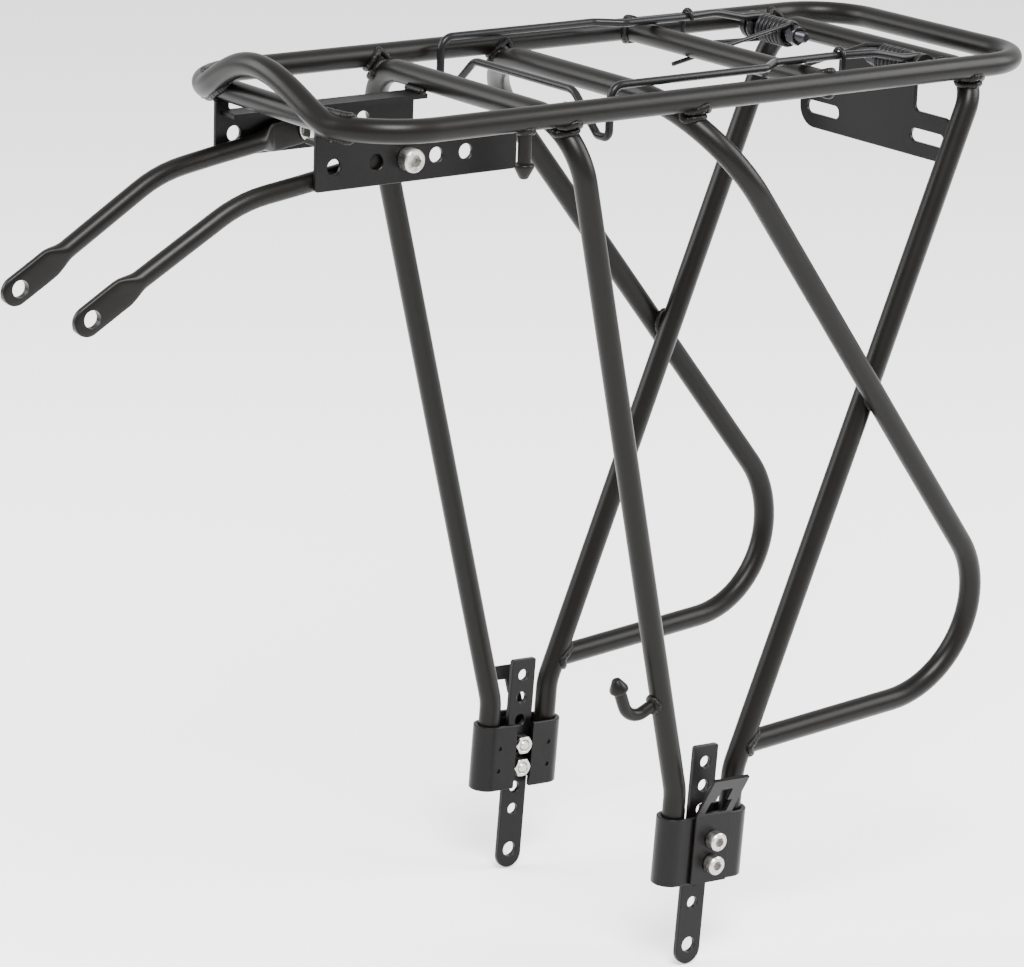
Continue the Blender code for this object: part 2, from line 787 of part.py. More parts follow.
def make_light_bracket(frame_finish):
    """A plate hung under the rear cross tube, with a slot each side for a lamp's screws."""
    top = -cross_drop
    corners = [
        (-tongue_half_width, top), (-tongue_half_width, -bracket_shoulder), (-bracket_half_width, -bracket_shoulder),
        (-bracket_half_width, -bracket_bottom), (bracket_half_width, -bracket_bottom),
        (bracket_half_width, -bracket_shoulder), (tongue_half_width, -bracket_shoulder), (tongue_half_width, top),
    ]
    low = bracket_lower_radius
    high = bracket_upper_radius
    outline = rounded_outline(corners, [0, high / 2, high, low, low, high, high / 2, 0])
    slots = []
    for side in (1, -1):
        ends = [(side * slot_inner_y, -slot_drop - slot_half_height), (side * slot_outer_y, -slot_drop - slot_half_height),
                (side * slot_outer_y, -slot_drop + slot_half_height), (side * slot_inner_y, -slot_drop + slot_half_height)]
        slots.append(rounded_outline(ends, [slot_half_height * 0.98] * 4))
    facing = Matrix.Translation((bracket_x, 0, deck_height))
    facing = facing @ Matrix(((0, 0, 1, 0), (1, 0, 0, 0), (0, 1, 0, 0), (0, 0, 0, 1)))
    half = bracket_sheet / 2
    bracket = sheet("light_bracket", outline, slots, -half, half, facing, frame_finish)
    rod = [from_deck(rear_cross_x, side * deck_half_width, -cross_drop) for side in (-1, 1)]
    wider = tube("rear_cross_trim", rod, tube_radius + gap, None, side_hint=Vector((0, 0, 1)))
    boolean(bracket, wider, "DIFFERENCE")


def peg_section(distance, length):
    """A plain stem that ends in a barb: wide shoulder, narrower tip."""
    along_barb = (distance - (length - peg_barb_length)) / peg_barb_length
    if along_barb < 0:
        return peg_stem_radius, peg_stem_radius
    radius = peg_barb_radius + (peg_tip_radius - peg_barb_radius) * max(0.0, (along_barb - 0.25) / 0.75)
    return radius, radius


def make_peg(name, path, trim, frame_finish):
    length = path_length(path)
    shoulder = length - peg_barb_length
    path = with_stations(path, [shoulder - 0.0004, shoulder + 0.00001, shoulder + 0.25 * peg_barb_length])
    peg = swept(name, path, lambda distance: peg_section(distance, length), frame_finish, side_hint=Vector((0, 1, 0)))
    boolean(peg, trim, "DIFFERENCE")


def make_pump_pegs(trim, frame_finish):
    """One barbed peg under the left rail and one on the left front leg, facing each other."""
    top = from_deck(upper_peg_x, deck_half_width, -tube_radius / 2)
    tip = from_deck(upper_peg_x, deck_half_width, -upper_peg_length)
    make_peg("pump_peg_upper", [top, tip], trim, frame_finish)
    leg_top = from_deck(front_cross_x, deck_half_width + front_spread, -cross_drop)
    knee = strap_axis(front_knee, leg_spacing / 2, leg_plane_y)
    root = leg_top.lerp(knee, (leg_top.z - lower_peg_height) / (leg_top.z - knee.z))
    bend = root + Vector((lower_peg_reach, 0, -lower_peg_dip))
    end = bend + Vector((lower_peg_lean, 0, lower_peg_rise))
    path = rounded([root, bend, end], [lower_peg_bend_radius])
    wider = tube("front_leg_trim", joined_halves(front_leg_path), tube_radius + gap, None, side_hint=Vector((1, 0, 0)))
    make_peg("pump_peg_lower", path, wider, frame_finish)


def flap_height():
    """Height at which the flap's arms rest on the middle cross tube."""
    return tube_radius + flap_wire_radius + gap


def flap_eye_radius():
    return m5["core"] + flap_wire_radius + gap + 0.0001


def flap_arm_y(x):
    """Distance of a flap arm from the centre plane at a place behind the kink."""
    share = (x - flap_splay_front) / (flap_splay_rear - flap_splay_front)
    return flap_narrow_y + (flap_eye_y - flap_narrow_y) * min(max(share, 0.0), 1.0)


def flap_half(side):
    """Half of the flap's wire: from the middle of its crossbar to the rolled eye at its hinge."""
    eye_radius = flap_eye_radius()
    rest = flap_height()
    eye_top = eye_radius - hinge_drop
    points = [
        from_deck(flap_front_x, 0, flap_bar_height),
        from_deck(flap_front_x, side * flap_bar_half_width, flap_bar_height),
        from_deck(flap_front_x, side * flap_dip_inner_y, -flap_dip),
        from_deck(flap_front_x, side * flap_wide_y, -flap_dip),
        from_deck(flap_front_x, side * flap_wide_y, rest),
        from_deck(flap_kink_front, side * flap_wide_y, rest),
        from_deck(flap_kink_rear, side * flap_narrow_y, rest),
        from_deck(flap_splay_front, side * flap_narrow_y, rest),
        from_deck(flap_splay_rear, side * flap_eye_y, rest),
        from_deck(hinge_x + 2 * eye_radius, side * flap_eye_y, eye_top),
        from_deck(hinge_x, side * flap_eye_y, eye_top),
    ]
    dip = flap_dip_radius
    radii = [flap_bar_radius, dip, dip, flap_front_radius, flap_front_radius, flap_front_radius, 0.02, 0.02, 0.01]
    path = rounded(points, radii)
    steps = math.ceil(eye_turn / math.radians(30))
    for step in range(1, steps + 1):
        turn = eye_turn * step / steps
        path.append(from_deck(hinge_x - eye_radius * math.sin(turn), side * flap_eye_y,
                              eye_radius * math.cos(turn) - hinge_drop))
    return path


def make_flap(spring_steel):
    """One bent wire: a crossbar, two dips, two arms and a rolled eye round each hinge screw."""
    path = joined_halves(flap_half)
    flap = tube("flap_wire", path, flap_wire_radius, spring_steel, sides=wire_sides, side_hint=Vector((1, 0, 0)))
    set_pivot(flap, from_deck(hinge_x, 0, -hinge_drop))


def spring_path(side):
    """Hook over the flap's arm, leg back to the coil, and the inner leg under the middle cross tube."""
    arm_y = flap_arm_y(hook_x)
    hook_radius = flap_wire_radius + spring_wire_radius + gap
    coil_top = spring_coil_radius - hinge_drop
    coil_bottom = -spring_coil_radius - hinge_drop
    path = []
    hook_steps = 8
    for step in range(hook_steps + 1):
        turn = hook_turn * (1 - step / hook_steps)
        path.append(from_deck(hook_x, side * (arm_y + hook_radius * math.cos(turn)),
                              flap_height() + hook_radius * math.sin(turn)))
    knee = Vector((hook_x, path[-1].y, deck_height + coil_bottom))
    coil_start = from_deck(hinge_x, side * spring_outer_y, coil_bottom)
    path += rounded([path[-1], knee, coil_start], [spring_knee_radius])[1:-1]
    steps_per_turn = 10
    total = round((spring_turns + 0.5) * steps_per_turn)
    for step in range(total + 1):
        turn = math.tau * step / steps_per_turn
        y = spring_outer_y + (spring_inner_y - spring_outer_y) * step / total
        path.append(from_deck(hinge_x - spring_coil_radius * math.sin(turn), side * y,
                              -spring_coil_radius * math.cos(turn) - hinge_drop))
    under_cross = -tube_radius - spring_wire_radius - gap
    path.append(from_deck(hinge_x + spring_leg_level, side * spring_leg_y, coil_top))
    path.append(from_deck(middle_cross_x, side * spring_leg_y, under_cross))
    tail_drop = under_cross - coil_top
    tail_share = spring_leg_tail / (middle_cross_x - hinge_x - spring_leg_level)
    path.append(from_deck(middle_cross_x + spring_leg_tail, side * spring_leg_y, under_cross + tail_drop * tail_share))
    return path


def make_spring(side, name, spring_steel):
    spring = tube(f"flap_spring_{name}", spring_path(side), spring_wire_radius, spring_steel, sides=spring_sides)
    set_pivot(spring, from_deck(hinge_x, 0, -hinge_drop))


def make_pivot(side, name, trim, frame_finish, zinc):
    """The lug on the rail's inner side, and the screw and nut that the flap and its spring turn on."""
    place = across_y(hinge_x, deck_height - hinge_drop)
    lug_outer_y = lug_inner_y + lug_thickness
    bore = circle(pivot_screw["core"] + bore_clearance)
    lug = side_sheet(f"pivot_lug_{name}", side, circle(lug_radius, sides=20), [bore], lug_inner_y, lug_outer_y,
                     place, frame_finish)
    height = lug_half_height
    rear = lug_foot_rear - hinge_x
    front = lug_foot_front - hinge_x
    arm = [(rear, -height), (front + 0.004, -height), (front + 0.004, height), (rear, height)]
    foot = [(rear, -height), (front, -height), (front, height), (rear, height)]
    web = side_sheet(f"pivot_lug_{name}_web", side, arm, [], lug_inner_y, lug_outer_y, place, None)
    reach = side_sheet(f"pivot_lug_{name}_foot", side, foot, [], lug_inner_y + 0.0005, deck_half_width, place, None)
    drill = side_sheet(f"pivot_lug_{name}_bore", side, bore, [], lug_inner_y - 0.001, lug_outer_y + 0.001, place, None)
    boolean(lug, web, "UNION")
    boolean(lug, reach, "UNION")
    boolean(lug, drill, "DIFFERENCE")
    boolean(lug, trim, "DIFFERENCE")
    make_screw(f"pivot_bolt_{name}", side, pivot_screw, lug_outer_y + gap, pivot_inner_y, place, zinc)
    make_nut(f"pivot_nut_{name}", side, pivot_screw, pivot_nut_inner_y, place, zinc)


def main():
    clear_scene()
    frame_finish = finish("black_powder_coat", (0.012, 0.012, 0.013), 0.42, 0.0)
    strap_finish = finish("black_coated_steel", (0.014, 0.014, 0.015), 0.38, 0.0)
    spring_steel = finish("black_spring_steel", (0.02, 0.02, 0.021), 0.3, 0.6)
    zinc = finish("black_zinc_fastener", (0.03, 0.03, 0.032), 0.35, 0.8)
    trim, bar_trim = make_deck(frame_finish)
    make_legs(trim, frame_finish)
    make_light_bracket(frame_finish)
    make_pump_pegs(trim, frame_finish)
    make_flap(spring_steel)
    for side, name in ((1, "left"), (-1, "right")):
        make_strap(side, name, strap_finish)
        make_clamp(side, name, strap_finish)
        make_anchor(side, name, strap_finish)
        make_clamp_fasteners(side, name, zinc)
        make_side_plate(side, name, bar_trim, frame_finish)
        make_stay(side, name, strap_finish)
        make_stay_fasteners(side, name, zinc)
        make_spring(side, name, spring_steel)
        make_pivot(side, name, trim, frame_finish, zinc)


main()
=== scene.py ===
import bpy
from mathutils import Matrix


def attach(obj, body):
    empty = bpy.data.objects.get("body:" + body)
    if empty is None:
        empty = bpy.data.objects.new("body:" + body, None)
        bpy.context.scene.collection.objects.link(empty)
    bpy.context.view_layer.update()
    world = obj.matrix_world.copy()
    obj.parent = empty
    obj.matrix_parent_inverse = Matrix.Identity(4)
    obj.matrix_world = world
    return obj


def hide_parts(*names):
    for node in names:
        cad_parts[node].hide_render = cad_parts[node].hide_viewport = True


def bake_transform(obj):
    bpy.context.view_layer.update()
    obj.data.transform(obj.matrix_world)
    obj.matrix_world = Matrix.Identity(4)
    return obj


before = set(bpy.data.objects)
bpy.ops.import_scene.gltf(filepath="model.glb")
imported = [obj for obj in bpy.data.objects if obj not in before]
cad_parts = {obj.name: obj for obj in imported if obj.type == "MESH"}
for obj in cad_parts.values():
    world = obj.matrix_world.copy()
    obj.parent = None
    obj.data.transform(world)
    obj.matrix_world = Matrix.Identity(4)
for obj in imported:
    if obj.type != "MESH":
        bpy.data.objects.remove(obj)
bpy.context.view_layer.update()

import math

import bmesh
import bpy
from mathutils import Matrix, Vector
from mathutils.geometry import intersect_point_line

print("rack: frame loaded")

bendStep = math.radians(5)
gap = 0.0003
sides = {"left": 1, "right": -1}


def srgb(code):
    parts = [int(code[i:i + 2], 16) / 255 for i in (1, 3, 5)]
    linear = [p / 12.92 if p <= 0.04045 else ((p + 0.055) / 1.055) ** 2.4 for p in parts]
    return (*linear, 1)


def addNode(tree, kind, settings=None, links=None):
    node = tree.nodes.new(kind)
    for key, value in (settings or {}).items():
        if hasattr(node, key):
            setattr(node, key, value)
        else:
            node.inputs[key].default_value = value
    for key, source in (links or {}).items():
        tree.links.new(source, node.inputs[key])
    return node


def fromDeck(x, y, z):
    return Vector((x, y, deck["height"] + z))


def strapAxis(distance, forward=0.0, y=0.0):
    lean = strap["lean"]
    up = Vector((-math.sin(lean), 0, math.cos(lean)))
    ahead = Vector((math.cos(lean), 0, math.sin(lean)))
    return up * distance + ahead * forward + Vector((0, y, 0))


def strapFrame():
    return Matrix.Rotation(-strap["lean"], 4, "Y")


def strapSide(height=0.0, forward=0.0):
    # side view on the strap: X forward, Y up the strap, Z towards -Y
    return strapFrame() @ Matrix.Rotation(math.pi / 2, 4, "X") @ Matrix.Translation((forward, height, 0))


def acrossY(x, z):
    return Matrix.Translation((x, 0, z)) @ Matrix.Rotation(math.pi / 2, 4, "X")


def rounded(points, radii, closed=False, step=bendStep):
    path = []
    count = len(points)
    for index, corner in enumerate(points):
        if not closed and index in (0, count - 1):
            path.append(corner.copy())
            continue
        radius = radii[index if closed else index - 1]
        back = (points[index - 1] - corner).normalized()
        ahead = (points[(index + 1) % count] - corner).normalized()
        turn = math.pi - back.angle(ahead)
        if radius == 0 or turn < 0.001:
            path.append(corner.copy())
            continue
        centre = corner + (back + ahead).normalized() * radius / math.cos(turn / 2)
        start = corner + back * radius * math.tan(turn / 2) - centre
        axis = back.cross(start)
        steps = max(2, math.ceil(turn / step))
        for k in range(steps + 1):
            path.append(centre + Matrix.Rotation(turn * k / steps, 3, axis) @ start)
    return path


def withStations(path, stations):
    marked = []
    travelled = 0.0
    for first, second in zip(path, path[1:]):
        marked.append((travelled, first))
        span = (second - first).length
        for station in stations:
            if travelled + 1e-6 < station < travelled + span - 1e-6:
                marked.append((station, first.lerp(second, (station - travelled) / span)))
        travelled += span
    marked.append((travelled, path[-1]))
    marked.sort(key=lambda item: item[0])
    return [point for distance, point in marked]


def pathLength(path):
    return sum((b - a).length for a, b in zip(path, path[1:]))


def bridgeRings(mesh, first, second):
    count = len(first)
    for k in range(count):
        n = (k + 1) % count
        mesh.faces.new((first[k], first[n], second[n], second[k]))


def sweep(mesh, path, size, ringSides, closed=False, hint=Vector((0, 1, 0)), bore=None):
    # size(distance) gives half depth, half width and the section's power: 2 is round, more is squarer
    count = len(path)
    rings = []
    frames = []
    travelled = 0.0
    normal = hint
    for index, point in enumerate(path):
        before = path[index - 1] if index or closed else point
        after = path[(index + 1) % count] if index < count - 1 or closed else point
        tangent = ((point - before).normalized() + (after - point).normalized()).normalized()
        normal = (normal - tangent * normal.dot(tangent)).normalized()
        other = tangent.cross(normal)
        depth, width, power = size(travelled)
        ring = []
        for k in range(ringSides):
            angle = math.tau * (k + 0.5) / ringSides
            c, s = math.cos(angle), math.sin(angle)
            c = math.copysign(abs(c) ** (2 / power), c)
            s = math.copysign(abs(s) ** (2 / power), s)
            ring.append(mesh.verts.new(point + normal * depth * c + other * width * s))
        rings.append(ring)
        frames.append((point, tangent, depth))
        travelled += (after - point).length
    for first, second in zip(rings, rings[1:]):
        bridgeRings(mesh, first, second)
    if closed:
        bridgeRings(mesh, rings[-1], rings[0])
        return
    for ring, inward, place in ((rings[0], 1, frames[0]), (rings[-1], -1, frames[-1])):
        if bore:
            point, tangent, radius = place
            share = bore["radius"] / radius
            lip = [mesh.verts.new(point + (v.co - point) * share) for v in ring]
            deep = [mesh.verts.new(v.co + tangent * inward * bore["depth"]) for v in lip]
            bridgeRings(mesh, ring, lip)
            bridgeRings(mesh, lip, deep)
            mesh.faces.new(deep)
        else:
            mesh.faces.new(ring)


def roundTube(mesh, path, radius, ringSides=36, closed=False, hint=Vector((0, 1, 0)), bore=None):
    sweep(mesh, path, lambda distance: (radius, radius, 2), ringSides, closed, hint, bore)


def circle(radius, centre=(0, 0), count=32):
    turns = [math.tau * (k + 0.5) / count for k in range(count)]
    return [(centre[0] + radius * math.cos(t), centre[1] + radius * math.sin(t)) for t in turns]


def roundedOutline(corners, radii):
    path = rounded([Vector((a, b, 0)) for a, b in corners], radii, closed=True, step=math.radians(12))
    return [(p.x, p.y) for p in path]


def inset(loop, amount):
    # moves a closed outline towards its own inside; a negative amount moves it out
    area = sum(a[0] * b[1] - b[0] * a[1] for a, b in zip(loop, loop[1:] + loop[:1]))
    turn = 1 if area > 0 else -1
    moved = []
    for k, (x, y) in enumerate(loop):
        ax, ay = loop[k - 1]
        bx, by = loop[(k + 1) % len(loop)]
        first = Vector((x - ax, y - ay)).normalized()
        second = Vector((bx - x, by - y)).normalized()
        n1 = Vector((-first.y, first.x)) * turn
        n2 = Vector((-second.y, second.x)) * turn
        middle = n1 + n2
        share = amount * 2 / max(middle.length_squared, 1.0)
        moved.append((x + middle.x * share, y + middle.y * share))
    return moved


def sheetMesh(mesh, outline, holes, low, high, place, edge=0.0003):
    # a flat blank with broken edges all round, along the place matrix's Z
    def face(level):
        loops = []
        edges = []
        for loop, amount in [(outline, edge)] + [(hole, -edge) for hole in holes]:
            corners = [mesh.verts.new(place @ Vector((a, b, level))) for a, b in inset(loop, amount)]
            loops.append(corners)
        for corners in loops:
            edges += [mesh.edges.new(pair) for pair in zip(corners, corners[1:] + corners[:1])]
        bmesh.ops.triangle_fill(mesh, use_beauty=True, edges=edges)
        return loops

    bottom = face(low)
    top = face(high)
    for number, loop in enumerate([outline] + holes):
        lower = [mesh.verts.new(place @ Vector((a, b, low + edge))) for a, b in loop]
        upper = [mesh.verts.new(place @ Vector((a, b, high - edge))) for a, b in loop]
        bridgeRings(mesh, bottom[number], lower)
        bridgeRings(mesh, lower, upper)
        bridgeRings(mesh, upper, top[number])


def sideSheet(mesh, side, outline, holes, near, far, place, edge=0.0003):
    low, high = sorted((-side * near, -side * far))
    sheetMesh(mesh, outline, holes, low, high, place, edge)


def hexReach(turn, width):
    within = (turn % (math.pi / 3)) - math.pi / 6
    return width / 2 / math.cos(within)


def turned(mesh, profile, place, count=60, loop=False):
    # each profile entry is height, radius and ring shape: round, knurl, hex,
    # or a number, the width across flats of a hexagon that a cone of this radius cuts
    rings = []
    for height, radius, shape in profile:
        ring = []
        for k in range(count):
            turn = math.tau * k / count
            reach = radius
            if shape == "knurl" and k % 2:
                reach = radius * 0.975
            if shape == "hex":
                reach = hexReach(turn, radius * 2)
            if isinstance(shape, float):
                reach = min(radius, hexReach(turn, shape))
            corner = Vector((reach * math.cos(turn), reach * math.sin(turn), height))
            ring.append(mesh.verts.new(place @ corner))
        rings.append(ring)
    for first, second in zip(rings, rings[1:]):
        bridgeRings(mesh, first, second)
    if loop:
        bridgeRings(mesh, rings[-1], rings[0])
    else:
        mesh.faces.new(rings[0])
        mesh.faces.new(rings[-1])


def finishMesh(name, mesh, material, sharp=35):
    bmesh.ops.recalc_face_normals(mesh, faces=mesh.faces[:])
    data = bpy.data.meshes.new(name)
    mesh.to_mesh(data)
    mesh.free()
    data.shade_smooth()
    data.set_sharp_from_angle(angle=math.radians(sharp))
    data.materials.append(material)
    made = bpy.data.objects.new(name, data)
    bpy.context.collection.objects.link(made)
    return made


def applied(piece):
    # bakes the modifiers into a plain mesh
    graph = bpy.context.evaluated_depsgraph_get()
    data = bpy.data.meshes.new_from_object(piece.evaluated_get(graph))
    piece.modifiers.clear()
    piece.data = data
    return piece


def cutWith(piece, tools, operation="DIFFERENCE"):
    for tool in tools:
        change = piece.modifiers.new("cut", "BOOLEAN")
        change.operation = operation
        change.object = tool
    applied(piece)
    for tool in tools:
        bpy.data.objects.remove(tool, do_unlink=True)
    piece.data.shade_smooth()
    piece.data.set_sharp_from_angle(angle=math.radians(35))
    return piece


def drill(side, radius, near, far, place, count=32):
    mesh = bmesh.new()
    sideSheet(mesh, side, circle(radius, count=count), [], near, far, place, 0.00001)
    return finishMesh("drill", mesh, zinc)


def settle(piece, body, slot, *nodes):
    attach(piece, body)
    if nodes:
        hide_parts(*nodes)
    return piece


def coated(name, hexCode, roughness, peel, grainMm):
    # baked coat on metal: satin, nearly black, with a fine orange peel that softens highlights;
    # grainMm is the peel's own size, drawn as it is because it only just shows
    material = bpy.data.materials.new(name)
    material.use_nodes = True
    tree = material.node_tree
    shader = tree.nodes["Principled BSDF"]
    shader.inputs["IOR"].default_value = 1.5
    shader.inputs["Specular IOR Level"].default_value = 0.13
    place = addNode(tree, "ShaderNodeTexCoord")
    cloud = addNode(tree, "ShaderNodeTexNoise", {"Scale": 45.0, "Detail": 3.0},     # clouds about 22 mm across
                    {"Vector": place.outputs["Object"]})
    tint = addNode(tree, "ShaderNodeMix", {"data_type": "RGBA"}, {"Factor": cloud.outputs["Fac"]})
    tint.inputs[6].default_value = srgb(hexCode)
    lighter = [min(1.0, part * 1.35) for part in srgb(hexCode)[:3]]
    tint.inputs[7].default_value = (*lighter, 1)
    tree.links.new(tint.outputs[2], shader.inputs["Base Color"])
    rough = addNode(tree, "ShaderNodeMapRange", {"To Min": roughness - 0.05, "To Max": roughness + 0.06},
                    {"Value": cloud.outputs["Fac"]})
    tree.links.new(rough.outputs["Result"], shader.inputs["Roughness"])
    skin = addNode(tree, "ShaderNodeTexNoise", {"Scale": 1000 / grainMm, "Detail": 2.0},
                   {"Vector": place.outputs["Object"]})
    bump = addNode(tree, "ShaderNodeBump", {"Strength": peel, "Distance": 0.0002},
                   {"Height": skin.outputs["Fac"]})
    tree.links.new(bump.outputs["Normal"], shader.inputs["Normal"])
    return material


def plated(name, hexCode, roughness, streakMm):
    # electroplated steel: bright, faintly streaked by the cold heading under the plating
    material = bpy.data.materials.new(name)
    material.use_nodes = True
    tree = material.node_tree
    shader = tree.nodes["Principled BSDF"]
    shader.inputs["Metallic"].default_value = 1.0
    place = addNode(tree, "ShaderNodeTexCoord")
    stain = addNode(tree, "ShaderNodeTexNoise", {"Scale": 350.0, "Detail": 4.0},    # stains about 3 mm across
                    {"Vector": place.outputs["Object"]})
    tint = addNode(tree, "ShaderNodeMix", {"data_type": "RGBA"}, {"Factor": stain.outputs["Fac"]})
    darker = [part * 0.72 for part in srgb(hexCode)[:3]]
    tint.inputs[6].default_value = (*darker, 1)
    tint.inputs[7].default_value = srgb(hexCode)
    tree.links.new(tint.outputs[2], shader.inputs["Base Color"])
    rough = addNode(tree, "ShaderNodeMapRange", {"To Min": roughness - 0.08, "To Max": roughness + 0.12},
                    {"Value": stain.outputs["Fac"]})
    tree.links.new(rough.outputs["Result"], shader.inputs["Roughness"])
    grit = addNode(tree, "ShaderNodeTexNoise", {"Scale": 1000 / streakMm, "Detail": 3.0},
                   {"Vector": place.outputs["Object"]})
    bump = addNode(tree, "ShaderNodeBump", {"Strength": 0.12, "Distance": 0.0001},
                   {"Height": grit.outputs["Fac"]})
    tree.links.new(bump.outputs["Normal"], shader.inputs["Normal"])
    return material


# tubes: sprayed and baked polyester powder, satin black with broad soft highlights
powderCoat = coated("powder_coated_aluminium", "#070605", 0.35, 0.10, 0.9)
# straps, clamps, plates: the same powder on rolled steel sheet, flatter and a little smoother
coatedSteel = coated("powder_coated_steel_sheet", "#070606", 0.34, 0.14, 0.6)
# flap and springs: dipped lacquer on drawn wire, glossier, with thin sharp highlights
springWire = coated("black_lacquered_spring_steel", "#0f0f10", 0.27, 0.05, 0.5)
# screws and nuts: bright zinc on cold-headed steel, pale metal that mirrors in soft patches
zinc = plated("bright_zinc_plated_steel", "#b4b3ae", 0.30, 0.35)
# hinge screws and nuts: black zinc, the same metal under a dark film
blackZinc = plated("black_zinc_plated_steel", "#3a3a3d", 0.34, 0.35)
print("rack: materials ready")

# metres throughout; z of the deck pieces is counted from the centre line of the loop
deck = {
    "height": 0.3825, "front": 0.1865, "rear": -0.174, "halfWidth": 0.0705,
    "frontRadius": 0.036, "rearRadius": 0.029, "tube": 0.005, "crossX": -0.054,
}
strap = {
    "lean": math.radians(3.28), "planeY": 0.067, "thickness": 0.0025, "width": 0.0134,
    "top": 0.093, "bottom": -0.009,
    "eyeRadius": 0.0035, "holeRadius": 0.0027, "count": 7, "pitch": 0.0109, "first": 0.0853,
    "corner": 0.0012,
}
hoop = {
    "halfWidth": 0.046, "rise": 0.0168, "lean": 0.0035, "fullness": 1.2,
    "barX": 0.1813, "barHalf": 0.0525,      # the straight bar under the hoop
}
sectionTurn = Matrix(((0, 0, 1, 0), (1, 0, 0, 0), (0, 1, 0, 0), (0, 0, 0, 1)))      # XY to YZ, Z to X
welds = []          # lists of points that weld beads follow


def hoopLifted(point):
    # the front of the loop rises and leans forward over the bar
    share = abs(point.y) / hoop["halfWidth"]
    if point.x < hoop["barX"] or share > 1:
        return point
    rise = math.cos(math.pi / 2 * share) ** hoop["fullness"]
    return point + Vector((hoop["lean"] * rise, 0, hoop["rise"] * rise))


def deckPath():
    w = deck["halfWidth"]
    corners = [fromDeck(deck["front"], -w, 0), fromDeck(deck["front"], w, 0),
               fromDeck(deck["rear"], w, 0), fromDeck(deck["rear"], -w, 0)]
    path = rounded(corners, [deck["frontRadius"]] * 2 + [deck["rearRadius"]] * 2, closed=True)
    reach = w - deck["frontRadius"]
    turnPoints = len(path) // 4
    front = [fromDeck(deck["front"], reach * (k / 20 - 1), 0) for k in range(1, 40)]
    return [hoopLifted(point) for point in path[:turnPoints] + front + path[turnPoints:]]


def distanceTo(point, path, closed=False):
    pairs = list(zip(path, path[1:]))
    if closed:
        pairs.append((path[-1], path[0]))
    best = 1.0
    for a, b in pairs:
        foot, share = intersect_point_line(point, a, b)
        share = min(max(share, 0.0), 1.0)
        best = min(best, (point - a.lerp(b, share)).length)
    return best


def weldRing(start, direction, radius, path, parentRadius, closed=False, reach=0.02, count=30):
    # where a tube's wall, run on from start, meets another tube; unmet stretches are left open
    direction = direction.normalized()
    u = direction.orthogonal().normalized()
    v = direction.cross(u)
    runs = [[]]
    for k in range(count + 1):
        turn = math.tau * k / count
        point = start + (u * math.cos(turn) + v * math.sin(turn)) * radius
        found = None
        step = 0.0005
        travelled = 0.0
        while travelled < reach:
            if distanceTo(point + direction * travelled, path, closed) <= parentRadius:
                found = point + direction * (travelled - step / 2)
                break
            travelled += step
        if found:
            runs[-1].append(found)
        elif runs[-1]:
            runs.append([])
    for run in runs:
        if len(run) > 2:
            welds.append(run)


def nearSegment(path, point, span):
    # the stretch of a closed or long path that lies close to a point
    keep = [k for k, p in enumerate(path) if (p - point).length < span]
    return path[max(0, min(keep) - 1):max(keep) + 2] if keep else path


def nearestOn(path, point):
    feet = []
    for a, b in zip(path, path[1:]):
        share = min(max(intersect_point_line(point, a, b)[1], 0.0), 1.0)
        feet.append(a.lerp(b, share))
    return min(feet, key=lambda foot: (foot - point).length)


rails = {side: [fromDeck(deck["rear"] + 0.03, side * deck["halfWidth"], 0),
                fromDeck(deck["front"] - 0.036, side * deck["halfWidth"], 0)] for side in (1, -1)}

mesh = bmesh.new()
roundTube(mesh, deckPath(), deck["tube"], closed=True, hint=Vector((0, 0, 1)))
settle(finishMesh("deck_loop_tube", mesh, powderCoat), "frame", "frame_paint", "deck_loop")

mesh = bmesh.new()
reachY = deck["halfWidth"] - 0.003
crossEnds = [fromDeck(deck["crossX"], -reachY, 0), fromDeck(deck["crossX"], reachY, 0)]
roundTube(mesh, crossEnds, deck["tube"] - 0.0001, hint=Vector((0, 0, 1)))
settle(finishMesh("middle_cross_tube", mesh, powderCoat), "frame", "frame_paint", "deck_cross_tube")
for side in (1, -1):
    start = fromDeck(deck["crossX"], side * 0.055, 0)
    weldRing(start, Vector((0, side, 0)), deck["tube"], rails[side], deck["tube"])

mesh = bmesh.new()
barEnds = [fromDeck(hoop["barX"], -hoop["barHalf"], 0), fromDeck(hoop["barX"], hoop["barHalf"], 0)]
roundTube(mesh, barEnds, deck["tube"] - 0.0001, hint=Vector((0, 0, 1)))
settle(finishMesh("front_bar_tube", mesh, powderCoat), "frame", "frame_paint", "front_bar")
frontArc = [p for p in deckPath() if p.x > 0.155]
for side in (1, -1):
    start = fromDeck(hoop["barX"], side * 0.026, 0)
    weldRing(start, Vector((0, side, 0)), deck["tube"], frontArc, deck["tube"], reach=0.032)
print("rack: deck made")

# three bent tubes under the deck; knee and end are distances up the strap line
legs = {
    "drop": 0.0034, "spacing": 0.032, "planeY": 0.0683, "end": 0.0335, "kneeRadius": 0.025,
    "front": {"x": 0.0845, "spread": 0.0046, "bend": 0.026, "knee": 0.0739, "stub": 0.084},
    "rear": {"x": -0.1404, "spread": -0.0019, "bend": 0.017, "knee": 0.0803, "stub": -0.135},
    "boreRadius": 0.0038, "boreDepth": 0.02,
}
guard = {
    "x": 0.0248, "drop": 0.0024, "spread": 0.0169, "bend": 0.047, "heelX": -0.1937, "heelHeight": 0.100,
    "heelBend": 0.044, "endHeight": 0.0898, "stub": 0.017, "crossingShare": 0.6316,
}


def legPath(side, leg, forward):
    topY = side * (deck["halfWidth"] + leg["spread"])
    points = [fromDeck(leg["x"], 0, -legs["drop"]), fromDeck(leg["x"], topY, -legs["drop"]),
              strapAxis(leg["knee"], forward, side * legs["planeY"]),
              strapAxis(legs["end"], forward, side * legs["planeY"])]
    return rounded(points, [leg["bend"], legs["kneeRadius"]])


